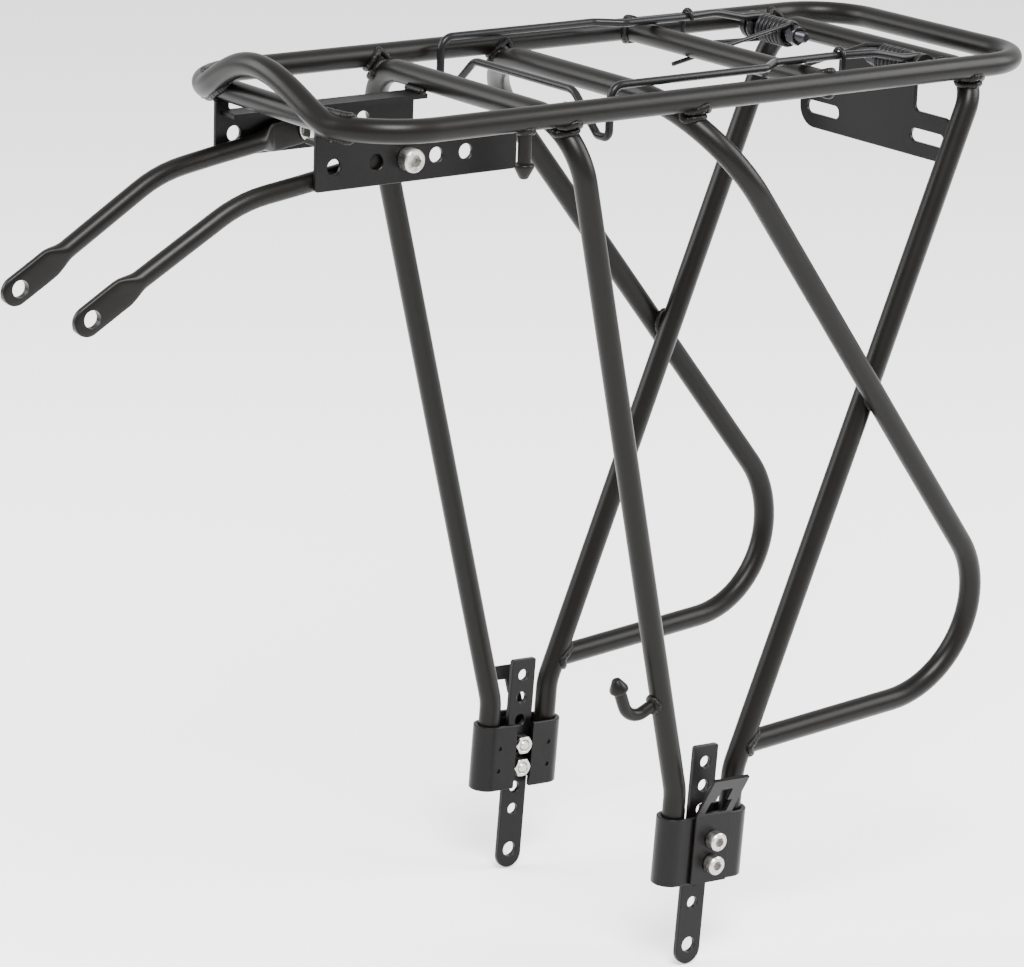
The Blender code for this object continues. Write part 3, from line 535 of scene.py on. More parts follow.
def frontLegPath(side):
    return legPath(side, legs["front"], legs["spacing"] / 2)


def rearLegPath(side):
    return legPath(side, legs["rear"], -legs["spacing"] / 2)


def rearLegPoint(side, height):
    rear = legs["rear"]
    top = fromDeck(rear["x"], side * (deck["halfWidth"] + rear["spread"]), -legs["drop"])
    knee = strapAxis(rear["knee"], -legs["spacing"] / 2, side * legs["planeY"])
    return top.lerp(knee, (top.z - height) / (top.z - knee.z))


def guardPath(side):
    top = fromDeck(guard["x"], side * (deck["halfWidth"] + guard["spread"]), -guard["drop"])
    heel = Vector((guard["heelX"], 0, guard["heelHeight"]))
    crossing = rearLegPoint(side, deck["height"] * guard["crossingShare"])
    reach = (top.x - crossing.x) / (top.x - heel.x)
    outside = abs(crossing.y) + 2 * deck["tube"] + 1.5 * gap
    heel.y = side * (abs(top.y) + (outside - abs(top.y)) / reach)
    points = [fromDeck(guard["x"], 0, -guard["drop"]), top, heel, rearLegPoint(side, guard["endHeight"])]
    return rounded(points, [guard["bend"], guard["heelBend"]])


def bothHalves(makeHalf):
    return list(reversed(makeHalf(-1))) + makeHalf(1)[1:]


def makeUFrame(name, node, path, stubX, bore=None):
    mesh = bmesh.new()
    roundTube(mesh, path, deck["tube"], hint=Vector((1, 0, 0)), bore=bore)
    for side in (1, -1):
        rail = fromDeck(stubX, side * deck["halfWidth"], 0)
        foot = nearestOn(path, rail)
        lean = (foot - rail).normalized()
        roundTube(mesh, [rail + lean * 0.001, foot], deck["tube"] * 0.96, hint=Vector((1, 0, 0)))
        weldRing(foot, -lean, deck["tube"], rails[side], deck["tube"])
        local = nearSegment(path, foot, 0.03)
        weldRing(rail + lean * 0.001, lean, deck["tube"] * 0.97, local, deck["tube"], reach=0.014)
    return settle(finishMesh(name, mesh, powderCoat), "frame", "frame_paint", node)


legBore = {"radius": legs["boreRadius"], "depth": legs["boreDepth"]}
makeUFrame("front_legs_tube", "front_leg_frame", bothHalves(frontLegPath), legs["front"]["stub"], legBore)
makeUFrame("rear_legs_tube", "rear_leg_frame", bothHalves(rearLegPath), legs["rear"]["stub"], legBore)
makeUFrame("side_guards_tube", "guard_frame", bothHalves(guardPath), guard["stub"])
for side in (1, -1):
    tail = guardPath(side)
    direction = (tail[-1] - tail[-2]).normalized()
    weldRing(tail[-1] - direction * 0.012, direction, deck["tube"], rearLegPath(side), deck["tube"])
    crossing = rearLegPoint(side, deck["height"] * guard["crossingShare"])
    middle = crossing + Vector((0, side * (deck["tube"] + gap), 0))
    ring = []
    for k in range(25):
        turn = math.tau * k / 24
        ring.append(middle + Vector((0.0033 * math.cos(turn), 0, 0.0052 * math.sin(turn))))
    welds.append(ring)
print("rack: legs and guards made")

# angle sections that carry the front stays, holes counted from the rear
plate = {
    "outerY": 0.038, "sheet": 0.002, "rearX": 0.0865, "setback": 0.0005, "height": 0.0198, "flange": 0.012,
    "earLength": 0.0065, "earRise": 0.0042, "holeRadius": 0.00325, "holeDrop": 0.0101, "first": 0.1124,
    "pitch": 0.0147, "last": 0.177, "boltHole": 2, "corner": 0.0015,
}


def plateTop():
    return -legs["drop"] - deck["tube"] - gap


def plateHoles():
    return [plate["first"] + plate["pitch"] * k for k in range(4)] + [plate["last"]]


def stayPivot(side):
    return fromDeck(plateHoles()[plate["boltHole"]], side * plate["outerY"], plateTop() - plate["holeDrop"])


def makeSidePlate(side, name):
    frontX = deck["front"] - plate["setback"]
    top = plateTop()
    inner = plate["outerY"] - plate["sheet"]
    r = plate["corner"]
    outline = roundedOutline(
        [(plate["rearX"], top - plate["height"]), (frontX, top - plate["height"]),
         (frontX, top + plate["earRise"]), (frontX - plate["earLength"], top + plate["earRise"]),
         (frontX - plate["earLength"], top), (plate["rearX"], top)], [r, r, 0.0008, r, r, 0.0004])
    holes = [circle(plate["holeRadius"], (x, top - plate["holeDrop"])) for x in plateHoles()]
    mesh = bmesh.new()
    sideSheet(mesh, side, outline, holes, inner, plate["outerY"], acrossY(0, deck["height"]))
    flange = [(side * (plate["outerY"] - 0.0004), top), (side * (plate["outerY"] - plate["flange"]), top),
              (side * (plate["outerY"] - plate["flange"]), top - plate["sheet"]),
              (side * (plate["outerY"] - 0.0004), top - plate["sheet"])]
    along = Matrix.Translation((0, 0, deck["height"])) @ sectionTurn
    sheetMesh(mesh, flange, [], plate["rearX"], frontX - plate["earLength"] * 0.4, along, 0.0002)
    piece = finishMesh(f"side_plate_{name}_sheet", mesh, coatedSteel)
    settle(piece, "frame", "frame_paint", f"side_plate_{name}")
    low = fromDeck(plate["rearX"] + 0.0022, side * (plate["outerY"] - plate["flange"] + 0.0012), top + 0.0008)
    high = fromDeck(plate["rearX"] + 0.0022, side * (plate["outerY"] - 0.0008), top + 0.0008)
    welds.append([low, high])
    seamY = side * (plate["outerY"] + 0.0002)
    barX = hoop["barX"]
    welds.append([fromDeck(barX - 0.0012, seamY, -0.0049), fromDeck(barX + 0.003, seamY, -0.0042)])


for name, side in sides.items():
    makeSidePlate(side, name)

# plate under the rear cross tube, with a slot each side
lamp = {
    "x": -0.1435, "sheet": 0.002, "tongue": 0.0262, "halfWidth": 0.0517, "shoulder": 0.028, "bottom": 0.0484,
    "lowRadius": 0.010, "highRadius": 0.006, "slotInner": 0.0245, "slotOuter": 0.0467, "slotDrop": 0.0388,
    "slotHalf": 0.003,
}


def makeLampBracket():
    t, w, s, b = lamp["tongue"], lamp["halfWidth"], lamp["shoulder"], lamp["bottom"]
    top = -legs["drop"] - 0.0035
    corners = [(-t, top), (-t, -s), (-w, -s), (-w, -b), (w, -b), (w, -s), (t, -s), (t, top)]
    hr, lr = lamp["highRadius"], lamp["lowRadius"]
    outline = roundedOutline(corners, [0, hr / 2, hr, lr, lr, hr, hr / 2, 0])
    slots = []
    for side in (1, -1):
        a, c = side * lamp["slotInner"], side * lamp["slotOuter"]
        low, high = -lamp["slotDrop"] - lamp["slotHalf"], -lamp["slotDrop"] + lamp["slotHalf"]
        ends = [(a, low), (c, low), (c, high), (a, high)]
        slots.append(roundedOutline(ends, [lamp["slotHalf"] * 0.98] * 4))
    facing = Matrix.Translation((lamp["x"], 0, deck["height"])) @ sectionTurn
    mesh = bmesh.new()
    sheetMesh(mesh, outline, slots, -lamp["sheet"] / 2, lamp["sheet"] / 2, facing)
    settle(finishMesh("lamp_bracket_plate", mesh, coatedSteel), "frame", "frame_paint", "light_bracket")
    for offset, lift in ((-0.0012, -0.0036), (0.0012, -0.0048)):
        for y in (-1, 1):
            start = fromDeck(lamp["x"] + offset, y * (t - 0.002), -legs["drop"] + lift)
            welds.append([start, start + Vector((0, -y * 0.014, 0))])


makeLampBracket()
print("rack: plates made")

# two barbed pegs that hold a pump between them
peg = {
    "stem": 0.0028, "barb": 0.0042, "tip": 0.0017, "barbLength": 0.0063,
    "upperX": 0.107, "upperLength": 0.0245,
    "lowerHeight": 0.120, "reach": 0.0175, "dip": 0.0075, "bend": 0.008, "rise": 0.021, "lean": 0.008,
}


def pegSize(distance, length):
    share = (distance - (length - peg["barbLength"])) / peg["barbLength"]
    if share < 0:
        return peg["stem"], peg["stem"], 2
    if share < 0.06:
        return peg["barb"] - 0.0004, peg["barb"] - 0.0004, 2
    radius = peg["barb"] + (peg["tip"] - peg["barb"]) * max(0.0, (share - 0.25) / 0.75)
    if share > 0.995:
        radius -= 0.0004
    return radius, radius, 2


def makePeg(name, node, path):
    length = pathLength(path)
    shoulder = length - peg["barbLength"]
    shares = [0.00001, 0.061, 0.25, 0.94]
    stations = [shoulder - 0.0002] + [shoulder + share * peg["barbLength"] for share in shares]
    path = withStations(path, stations)
    mesh = bmesh.new()
    sweep(mesh, path, lambda distance: pegSize(distance, length), 28)
    settle(finishMesh(name, mesh, powderCoat, 50), "frame", "frame_paint", node)


upperTop = fromDeck(peg["upperX"], deck["halfWidth"], -0.0035)
upperTip = fromDeck(peg["upperX"], deck["halfWidth"], -peg["upperLength"])
makePeg("upper_pump_peg", "pump_peg_upper", [upperTop, upperTip])
below = fromDeck(peg["upperX"], deck["halfWidth"], -0.012)
weldRing(below, Vector((0, 0, 1)), peg["stem"], rails[1], deck["tube"])
legTop = fromDeck(legs["front"]["x"], deck["halfWidth"] + legs["front"]["spread"], -legs["drop"])
legKnee = strapAxis(legs["front"]["knee"], legs["spacing"] / 2, legs["planeY"])
root = legTop.lerp(legKnee, (legTop.z - peg["lowerHeight"]) / (legTop.z - legKnee.z))
bendPoint = root + Vector((peg["reach"], 0, -peg["dip"]))
pegDirection = (bendPoint - root).normalized()
lowerTip = bendPoint + Vector((peg["lean"], 0, peg["rise"]))
lowerPath = rounded([root + pegDirection * 0.003, bendPoint, lowerTip], [peg["bend"]])
makePeg("lower_pump_peg", "pump_peg_lower", lowerPath)
weldRing(root + pegDirection * 0.012, -pegDirection, peg["stem"], [legTop, legKnee], deck["tube"])

# overlapping drops of weld: spacing, drop radius and its length along the seam
weld = {"pitch": 0.0008, "radius": 0.0018, "squash": 1.0, "seed": 7}


def buildBeadTree():
    tree = bpy.data.node_groups.new("weldRipples", "GeometryNodeTree")
    face = tree.interface
    face.new_socket("Seams", in_out="INPUT", socket_type="NodeSocketGeometry")
    for label in ("Ripple Pitch", "Bead Radius", "Ripple Squash"):
        face.new_socket(label, in_out="INPUT", socket_type="NodeSocketFloat")
    face.new_socket("Seed", in_out="INPUT", socket_type="NodeSocketInt")
    face.new_socket("Material", in_out="INPUT", socket_type="NodeSocketMaterial")
    face.new_socket("Beads", in_out="OUTPUT", socket_type="NodeSocketGeometry")
    given = addNode(tree, "NodeGroupInput").outputs
    curve = addNode(tree, "GeometryNodeMeshToCurve", links={"Mesh": given["Seams"]})
    spaced = addNode(tree, "GeometryNodeResampleCurve", {"mode": "LENGTH"},
                     {"Curve": curve.outputs["Curve"], "Length": given["Ripple Pitch"]})
    drop = addNode(tree, "GeometryNodeMeshIcoSphere", {"Subdivisions": 2, "Radius": 1.0})
    tangent = addNode(tree, "GeometryNodeInputTangent")
    aligned = addNode(tree, "FunctionNodeAlignRotationToVector", {"axis": "Z"},
                      {"Vector": tangent.outputs[0]})
    thin = addNode(tree, "ShaderNodeMath", {"operation": "MULTIPLY"})
    tree.links.new(given["Bead Radius"], thin.inputs[0])
    tree.links.new(given["Ripple Squash"], thin.inputs[1])
    size = addNode(tree, "ShaderNodeCombineXYZ", links={
        "X": given["Bead Radius"], "Y": given["Bead Radius"], "Z": thin.outputs[0]})
    vary = addNode(tree, "FunctionNodeRandomValue", {"data_type": "FLOAT"}, {"Seed": given["Seed"]})
    vary.inputs[2].default_value = 0.93
    vary.inputs[3].default_value = 1.05
    scaled = addNode(tree, "ShaderNodeVectorMath", {"operation": "SCALE"}, {"Scale": vary.outputs[1]})
    tree.links.new(size.outputs[0], scaled.inputs[0])
    placed = addNode(tree, "GeometryNodeInstanceOnPoints", links={
        "Points": spaced.outputs["Curve"], "Instance": drop.outputs["Mesh"],
        "Rotation": aligned.outputs["Rotation"], "Scale": scaled.outputs[0]})
    real = addNode(tree, "GeometryNodeRealizeInstances", links={"Geometry": placed.outputs["Instances"]})
    smooth = addNode(tree, "GeometryNodeSetShadeSmooth", links={"Geometry": real.outputs["Geometry"]})
    dressed = addNode(tree, "GeometryNodeSetMaterial", links={
        "Geometry": smooth.outputs["Geometry"], "Material": given["Material"]})
    addNode(tree, "NodeGroupOutput", links={"Beads": dressed.outputs["Geometry"]})
    return tree


def makeWelds():
    mesh = bmesh.new()
    for points in welds:
        corners = [mesh.verts.new(point) for point in points]
        for first, second in zip(corners, corners[1:]):
            mesh.edges.new((first, second))
    data = bpy.data.meshes.new("weldSeams")
    mesh.to_mesh(data)
    mesh.free()
    beads = bpy.data.objects.new("weld_beads", data)
    bpy.context.collection.objects.link(beads)
    tree = buildBeadTree()
    change = beads.modifiers.new("ripples", "NODES")
    change.node_group = tree
    values = {"Ripple Pitch": weld["pitch"], "Bead Radius": weld["radius"], "Ripple Squash": weld["squash"],
              "Seed": weld["seed"], "Material": powderCoat}
    for item in tree.interface.items_tree:
        if item.in_out == "INPUT" and item.name in values:
            change[item.identifier] = values[item.name]
    applied(beads)
    settle(beads, "frame", "frame_paint")


makeWelds()
print("rack: welds made,", len(welds), "seams")

# folded sheet round both legs, and the hooked plate under its screws
clamp = {
    "bottom": 0.032, "height": 0.031, "sheet": 0.002, "freeGap": 0.0092, "collar": 0.0045, "bore": 0.0028,
    "dimple": 0.0011, "dimpleDepth": 0.0007, "dimpleOffset": 0.014,
}
anchor = {
    "sheet": 0.0016, "width": 0.020, "bottom": 0.0325, "knee": 0.0645, "top": 0.084, "reach": 0.0098,
    "windowWidth": 0.012, "windowHeight": 0.0065, "neckWidth": 0.0065, "neckHeight": 0.0065,
    "windowLift": 0.0005, "windowCorner": 0.0006, "bend": 0.004,
}


def strapHoles():
    return [strap["first"] - strap["pitch"] * k for k in range(strap["count"])]


boltHeights = {"upper": strapHoles()[3], "lower": strapHoles()[4]}


def makeStrap(side, name):
    half = strap["width"] / 2
    corners = [(-half, strap["bottom"]), (half, strap["bottom"]), (half, strap["top"]), (-half, strap["top"])]
    outline = roundedOutline(corners, [half * 0.98] * 2 + [strap["corner"]] * 2)
    holes = [circle(strap["holeRadius"], (0, height)) for height in strapHoles()]
    holes.append(circle(strap["eyeRadius"]))
    near = strap["planeY"] - strap["thickness"] / 2
    mesh = bmesh.new()
    sideSheet(mesh, side, outline, holes, near, near + strap["thickness"], strapSide())
    piece = finishMesh(f"drop_strap_{name}_sheet", mesh, coatedSteel)
    settle(piece, "frame", "coated_steel", f"drop_strap_{name}")


def clampOutline(side):
    inner = deck["tube"] + gap
    outer = inner + clamp["sheet"]
    half = legs["spacing"] / 2
    steps = 20
    loop = []
    for radius, order in ((outer, range(steps + 1)), (inner, range(steps, -1, -1))):
        turns = [math.pi * (k / steps - 0.5) for k in order]
        arc = [(half + radius * math.cos(t), radius * math.sin(t)) for t in turns]
        mirrored = [(-a, b) for a, b in reversed(arc)]
        free, freeMirrored = (clamp["freeGap"] / 2, -radius), (-clamp["freeGap"] / 2, -radius)
        if radius == outer:
            loop += [free] + arc + mirrored + [freeMirrored]
        else:
            loop += [freeMirrored] + mirrored + arc + [free]
    return [(a, side * (legs["planeY"] + b)) for a, b in loop]


def makeClamp(side, name):
    mesh = bmesh.new()
    top = clamp["bottom"] + clamp["height"]
    sheetMesh(mesh, clampOutline(side), [], clamp["bottom"], top, strapFrame(), 0.00035)
    piece = finishMesh(f"leg_clamp_{name}_sheet", mesh, coatedSteel)
    webInner = legs["planeY"] + deck["tube"] + gap
    collarEnd = strap["planeY"] + strap["thickness"] / 2 + gap
    flapOuter = legs["planeY"] - deck["tube"] - gap - clamp["sheet"]
    collars, cutters = [], []
    for height in boltHeights.values():
        place = strapSide(height)
        collars.append(drill(side, clamp["collar"], collarEnd, webInner + clamp["sheet"] / 2, place))
        cutters.append(drill(side, clamp["bore"], collarEnd - 0.001, webInner + 2 * clamp["sheet"], place))
        for across in (-clamp["dimpleOffset"], clamp["dimpleOffset"]):
            floor = flapOuter + clamp["dimpleDepth"]
            place = strapSide(height, across)
            cutters.append(drill(side, clamp["dimple"], flapOuter - 0.001, floor, place, 16))
    cutWith(piece, collars, "UNION")
    cutWith(piece, cutters)
    settle(piece, "frame", "coated_steel", f"leg_clamp_{name}")


def makeAnchor(side, name):
    inner = legs["planeY"] + deck["tube"] + gap + clamp["sheet"] + gap
    rise = anchor["top"] - anchor["knee"]
    slope = math.atan2(anchor["reach"], rise)
    centreline = rounded([Vector((inner + anchor["sheet"] / 2, anchor["bottom"], 0)),
                          Vector((inner + anchor["sheet"] / 2, anchor["knee"], 0)),
                          Vector((inner + anchor["sheet"] / 2 + anchor["reach"], anchor["top"] - 0.0004, 0))],
                         [anchor["bend"]], step=math.radians(6))
    nearEdge, farEdge = [], []
    for k, point in enumerate(centreline):
        a = centreline[max(0, k - 1)]
        b = centreline[min(len(centreline) - 1, k + 1)]
        along = (b - a).normalized()
        out = Vector((along.y, -along.x, 0)) * anchor["sheet"] / 2
        nearEdge.append(point - out)
        farEdge.append(point + out)
    section = [(side * p.x, p.y) for p in nearEdge + list(reversed(farEdge))]
    across = strapFrame() @ sectionTurn
    half = anchor["width"] / 2
    mesh = bmesh.new()
    sheetMesh(mesh, section, [], -half, half, across, 0.0003)
    piece = finishMesh(f"strap_anchor_{name}_sheet", mesh, coatedSteel)
    cutters = [drill(side, clamp["bore"], inner - 0.002, inner + 0.004, strapSide(height))
               for height in boltHeights.values()]
    low = anchor["knee"] + anchor["windowLift"]
    middle = low + anchor["windowHeight"]
    top = middle + anchor["neckHeight"]
    wide, narrow = anchor["windowWidth"] / 2, anchor["neckWidth"] / 2
    outline = roundedOutline([(-wide, low), (wide, low), (wide, middle), (narrow, middle), (narrow, top),
                              (-narrow, top), (-narrow, middle), (-wide, middle)],
                             [anchor["windowCorner"]] * 8)
    mesh = bmesh.new()
    sideSheet(mesh, side, outline, [], inner - 0.002, inner + anchor["reach"] + 0.006, strapSide(), 0.00001)
    cutters.append(finishMesh("window", mesh, zinc))
    cutWith(piece, cutters)
    settle(piece, "frame", "coated_steel", f"strap_anchor_{name}")


for name, side in sides.items():
    makeStrap(side, name)
    makeClamp(side, name)
    makeAnchor(side, name)
print("rack: straps and clamps made")

# socket head screws: radii, lengths and nut width across flats
m5 = {"core": 0.0024, "head": 0.00425, "headLength": 0.005, "socket": 0.004, "nut": 0.008, "nutLength": 0.005,
      "pitch": 0.0008}
m6 = {"core": 0.0029, "head": 0.005, "headLength": 0.006, "socket": 0.005, "nut": 0.010, "nutLength": 0.006,
      "pitch": 0.0010}
pivotScrew = {**m5, "headLength": 0.0038, "nutLength": 0.0047}


def screwPlace(side, place, start):
    # a frame whose Z runs outwards on this side, from a distance off the centre plane
    turn = Matrix.Rotation(math.pi, 4, "X") if side > 0 else Matrix.Identity(4)
    return place @ Matrix.Translation((0, 0, -side * start)) @ turn


def makeScrew(name, node, side, size, base, tip, place, material):
    shank = base - tip
    r, head = size["core"], size["head"]
    profile = [(0, r * 0.72, "round")]
    threads = int(min(shank - 0.0006, 0.012) / size["pitch"])
    for k in range(threads):
        z = 0.0004 + k * size["pitch"]
        profile += [(z, r * 0.86, "round"), (z + size["pitch"] * 0.5, r * 1.0, "round")]
    top = shank + size["headLength"]
    bevel = 0.0004
    profile += [(0.0004 + threads * size["pitch"], r * 0.98, "round"), (shank, r * 0.98, "round"),
                (shank, head - bevel / 2, "round"), (shank + bevel / 2, head, "knurl"),
                (top - bevel * 1.6, head, "knurl"), (top - bevel * 1.5, head * 0.985, "round"),
                (top, head - bevel * 1.6, "round"), (top, size["socket"] / 2 * 1.2, "round"),
                (top - 0.0002, size["socket"] / 2, "hex"),
                (top - size["headLength"] * 0.5, size["socket"] / 2, "hex")]
    mesh = bmesh.new()
    turned(mesh, profile, screwPlace(side, place, tip))
    settle(finishMesh(name, mesh, material, 30), "frame", "fasteners", node)


def makeNut(name, node, side, size, inner, place, material, quarter=False):
    spin = Matrix.Rotation(math.pi / 2, 4, "Z") if quarter else Matrix.Identity(4)
    bore, half, length = size["core"] + 0.0002, size["nut"] / 2, size["nutLength"]
    across = size["nut"]
    cone = [(0.00012 * k, half * (0.97 + 0.045 * k)) for k in range(5)]
    profile = [(0.0003, bore, "round"), (0, bore + 0.0004, "round")]
    profile += [(height, reach, across) for height, reach in cone]
    profile += [(length - height, reach, across) for height, reach in reversed(cone)]
    profile += [(length, bore + 0.0004, "round"), (length - 0.0003, bore, "round")]
    mesh = bmesh.new()
    seat = screwPlace(side, place @ spin, inner) @ Matrix.Rotation(math.pi / 6, 4, "Z")
    turned(mesh, profile, seat, loop=True)
    settle(finishMesh(name, mesh, material, 30), "frame", "fasteners", node)


def makeWasher(name, node, side, size, inner, thickness, radius, place, material):
    bore, bevel = size["core"] + 0.0004, 0.00015
    profile = [(bevel, bore, "round"), (0, bore + bevel, "round"),
               (0, radius - bevel, "round"), (bevel, radius, "round"),
               (thickness - bevel, radius, "round"), (thickness, radius - bevel, "round"),
               (thickness, bore + bevel, "round"), (thickness - bevel, bore, "round")]
    mesh = bmesh.new()
    turned(mesh, profile, screwPlace(side, place, inner), loop=True)
    settle(finishMesh(name, mesh, material, 30), "frame", "fasteners", node)


def makeFasteners(side, name):
    anchorOuter = legs["planeY"] + deck["tube"] + gap + clamp["sheet"] + gap + anchor["sheet"]
    nutInner = strap["planeY"] - strap["thickness"] / 2 - gap - m5["nutLength"]
    for level, height in boltHeights.items():
        place = strapSide(height)
        makeScrew(f"clamp_screw_{level}_{name}", f"clamp_bolt_{level}_{name}", side, m5, anchorOuter + gap,
                  nutInner - 0.0005, place, zinc)
        makeNut(f"clamp_hexnut_{level}_{name}", f"clamp_nut_{level}_{name}", side, m5, nutInner, place, zinc,
                quarter=True)
    pivot = stayPivot(side)
    place = acrossY(pivot.x, pivot.z)
    washerOuter = plate["outerY"] - plate["sheet"] - gap - 2 * stay["flatDepth"] - gap
    washerInner = washerOuter - stay["washer"]
    nutInner = washerInner - gap - m6["nutLength"]
    makeScrew(f"stay_screw_{name}", f"stay_bolt_{name}", side, m6, plate["outerY"] + gap, nutInner - 0.001,
              place, zinc)
    makeWasher(f"stay_disc_{name}", f"stay_washer_{name}", side, m6, washerInner, stay["washer"],
               stay["washerRadius"], place, zinc)
    makeNut(f"stay_hexnut_{name}", f"stay_nut_{name}", side, m6, nutInner, place, zinc)
    place = acrossY(flap["hingeX"], deck["height"] - flap["hingeDrop"])
    lugOuter = lug["innerY"] + lug["thickness"]
    makeScrew(f"pivot_screw_{name}", f"pivot_bolt_{name}", side, pivotScrew, lugOuter + gap, lug["screwTip"],
              place, blackZinc)
    makeNut(f"pivot_hexnut_{name}", f"pivot_nut_{name}", side, pivotScrew, lug["nutInner"], place, blackZinc)


# 8 mm tube pressed flat at both ends, measured forward and down from its screw
stay = {
    "radius": 0.004, "flatWidth": 0.00625, "flatDepth": 0.00175, "tail": 0.0078,
    "run": 0.0482, "runDrop": 0.0074,
    "bendForward": 0.0745, "bendDrop": 0.0115, "bendRadius": 0.060, "eyeForward": 0.1417, "eyeDrop": 0.0512,
    "eyeY": 0.028, "eyeRadius": 0.00375, "eyeTail": 0.008, "crimpStart": 0.018, "crimpEnd": 0.026,
    "eyeFlat": 0.024, "eyeCrimp": 0.010, "washer": 0.0012, "washerRadius": 0.006,
}


def stayPath(side):
    pivot = stayPivot(side)
    flatY = plate["outerY"] - plate["sheet"] - gap - stay["flatDepth"]
    roundY = plate["outerY"] - plate["sheet"] - gap - stay["radius"]
    slope = Vector((stay["run"], 0, -stay["runDrop"])).normalized()
    base = Vector((pivot.x, 0, pivot.z))
    eye = base + Vector((stay["eyeForward"], 0, -stay["eyeDrop"]))
    bend = base + Vector((stay["bendForward"], 0, -stay["bendDrop"]))
    last = (eye - bend).normalized()
    points = [
        base - slope * stay["tail"] + Vector((0, side * flatY, 0)),
        base + slope * stay["crimpStart"] + Vector((0, side * flatY, 0)),
        base + slope * stay["crimpEnd"] + Vector((0, side * roundY, 0)),
        base + slope * stay["run"] + Vector((0, side * roundY, 0)),
        bend + Vector((0, side * (roundY * 2 + stay["eyeY"]) / 3, 0)),
        eye - last * stay["eyeFlat"] / 2 + Vector((0, side * stay["eyeY"], 0)),
        eye + last * stay["eyeTail"] + Vector((0, side * stay["eyeY"], 0)),
    ]
    return rounded(points, [0.01, 0.01, 0.02, stay["bendRadius"], 0.02]), eye


def smoothStep(value):
    value = min(max(value, 0.0), 1.0)
    return value * value * (3 - 2 * value)


def staySize(distance, length):
    flat = stay["flatWidth"]
    toEnd = min(distance, length - distance)
    rounding = math.sqrt(max(1 - (1 - toEnd / flat) ** 2, 0.0)) if toEnd < flat else 1.0
    rear = (distance - stay["tail"] - stay["crimpStart"]) / (stay["crimpEnd"] - stay["crimpStart"])
    front = (length - stay["eyeFlat"] - distance) / stay["eyeCrimp"]
    blend = smoothStep(min(rear, front))
    depth = stay["flatDepth"] + (stay["radius"] - stay["flatDepth"]) * blend
    width = flat + (stay["radius"] - flat) * blend
    return depth, width * max(rounding, 0.12), 2 + 2.2 * (1 - blend)


def makeStay(side, name):
    path, eye = stayPath(side)
    length = pathLength(path)
    ends = [stay["flatWidth"] * (1 - math.cos(math.radians(turn))) for turn in range(10, 91, 10)]
    crimp = stay["crimpEnd"] - stay["crimpStart"]
    crimps = [stay["tail"] + stay["crimpStart"] + crimp * k / 8 for k in range(9)]
    fronts = [length - stay["eyeFlat"] - stay["eyeCrimp"] * k / 8 for k in range(9)]
    path = withStations(path, sorted(ends + crimps + fronts + [length - end for end in ends]))
    length = pathLength(path)
    mesh = bmesh.new()
    sweep(mesh, path, lambda distance: staySize(distance, length), 32)
    piece = finishMesh(f"front_stay_{name}_tube", mesh, powderCoat, 40)
    pivot = stayPivot(side)
    cutters = [drill(side, stay["eyeRadius"], 0.020, 0.036, acrossY(eye.x, eye.z)),
               drill(side, m6["core"] + 0.0004, 0.020, 0.038, acrossY(pivot.x, pivot.z))]
    cutWith(piece, cutters)
    settle(piece, f"front_stay_{name}", "coated_steel", f"front_stay_{name}")


for name, side in sides.items():
    makeStay(side, name)
print("rack: stays made")

# bent wire clip, its two torsion springs and the lugs that carry them
flap = {
    "wire": 0.00175, "hingeX": -0.117, "hingeDrop": 0.001, "frontX": 0.056, "wideY": 0.060, "narrowY": 0.0515,
    "eyeY": 0.0545, "kinkFront": -0.027, "kinkRear": -0.038, "splayFront": -0.070, "splayRear": -0.092,
    "barHalf": 0.035, "barHeight": 0.001, "dip": 0.015, "dipInnerY": 0.0523, "eyeTurn": math.radians(300),
    "bends": [0.008, 0.0035, 0.0035, 0.006, 0.006, 0.006, 0.02, 0.02, 0.01],     # crossbar to eye
}
spring = {
    "wire": 0.001, "coil": 0.0053, "turns": 7, "outerY": 0.0503, "innerY": 0.031,
    "legY": 0.0266, "legLevel": 0.006,
    "legTail": 0.008, "hookX": -0.074, "hookTurn": math.radians(200), "knee": 0.004,
}
lug = {"innerY": 0.0566, "thickness": 0.003, "radius": 0.0062, "footRear": -0.1295, "footFront": -0.1235,
       "halfHeight": 0.0036, "screwTip": 0.020, "nutInner": 0.025}


def flapHeight():
    return deck["tube"] + flap["wire"] + gap


def flapHalf(side):
    eyeRadius = m5["core"] + flap["wire"] + gap + 0.0001
    rest = flapHeight()
    eyeTop = eyeRadius - flap["hingeDrop"]
    x, wide, narrow = flap["frontX"], side * flap["wideY"], side * flap["narrowY"]
    eyeY = side * flap["eyeY"]
    points = [
        fromDeck(x, 0, flap["barHeight"]), fromDeck(x, side * flap["barHalf"], flap["barHeight"]),
        fromDeck(x, side * flap["dipInnerY"], -flap["dip"]), fromDeck(x, wide, -flap["dip"]),
        fromDeck(x, wide, rest),
        fromDeck(flap["kinkFront"], wide, rest), fromDeck(flap["kinkRear"], narrow, rest),
        fromDeck(flap["splayFront"], narrow, rest), fromDeck(flap["splayRear"], eyeY, rest),
        fromDeck(flap["hingeX"] + 2 * eyeRadius, eyeY, eyeTop), fromDeck(flap["hingeX"], eyeY, eyeTop),
    ]
    path = rounded(points, flap["bends"], step=math.radians(9))
    for k in range(1, 31):
        turn = flap["eyeTurn"] * k / 30
        path.append(fromDeck(flap["hingeX"] - eyeRadius * math.sin(turn), eyeY,
                             eyeRadius * math.cos(turn) - flap["hingeDrop"]))
    return path


mesh = bmesh.new()
roundTube(mesh, bothHalves(flapHalf), flap["wire"], 20, hint=Vector((1, 0, 0)))
settle(finishMesh("flap_clip_wire", mesh, springWire), "flap", "spring_wire", "flap_wire")


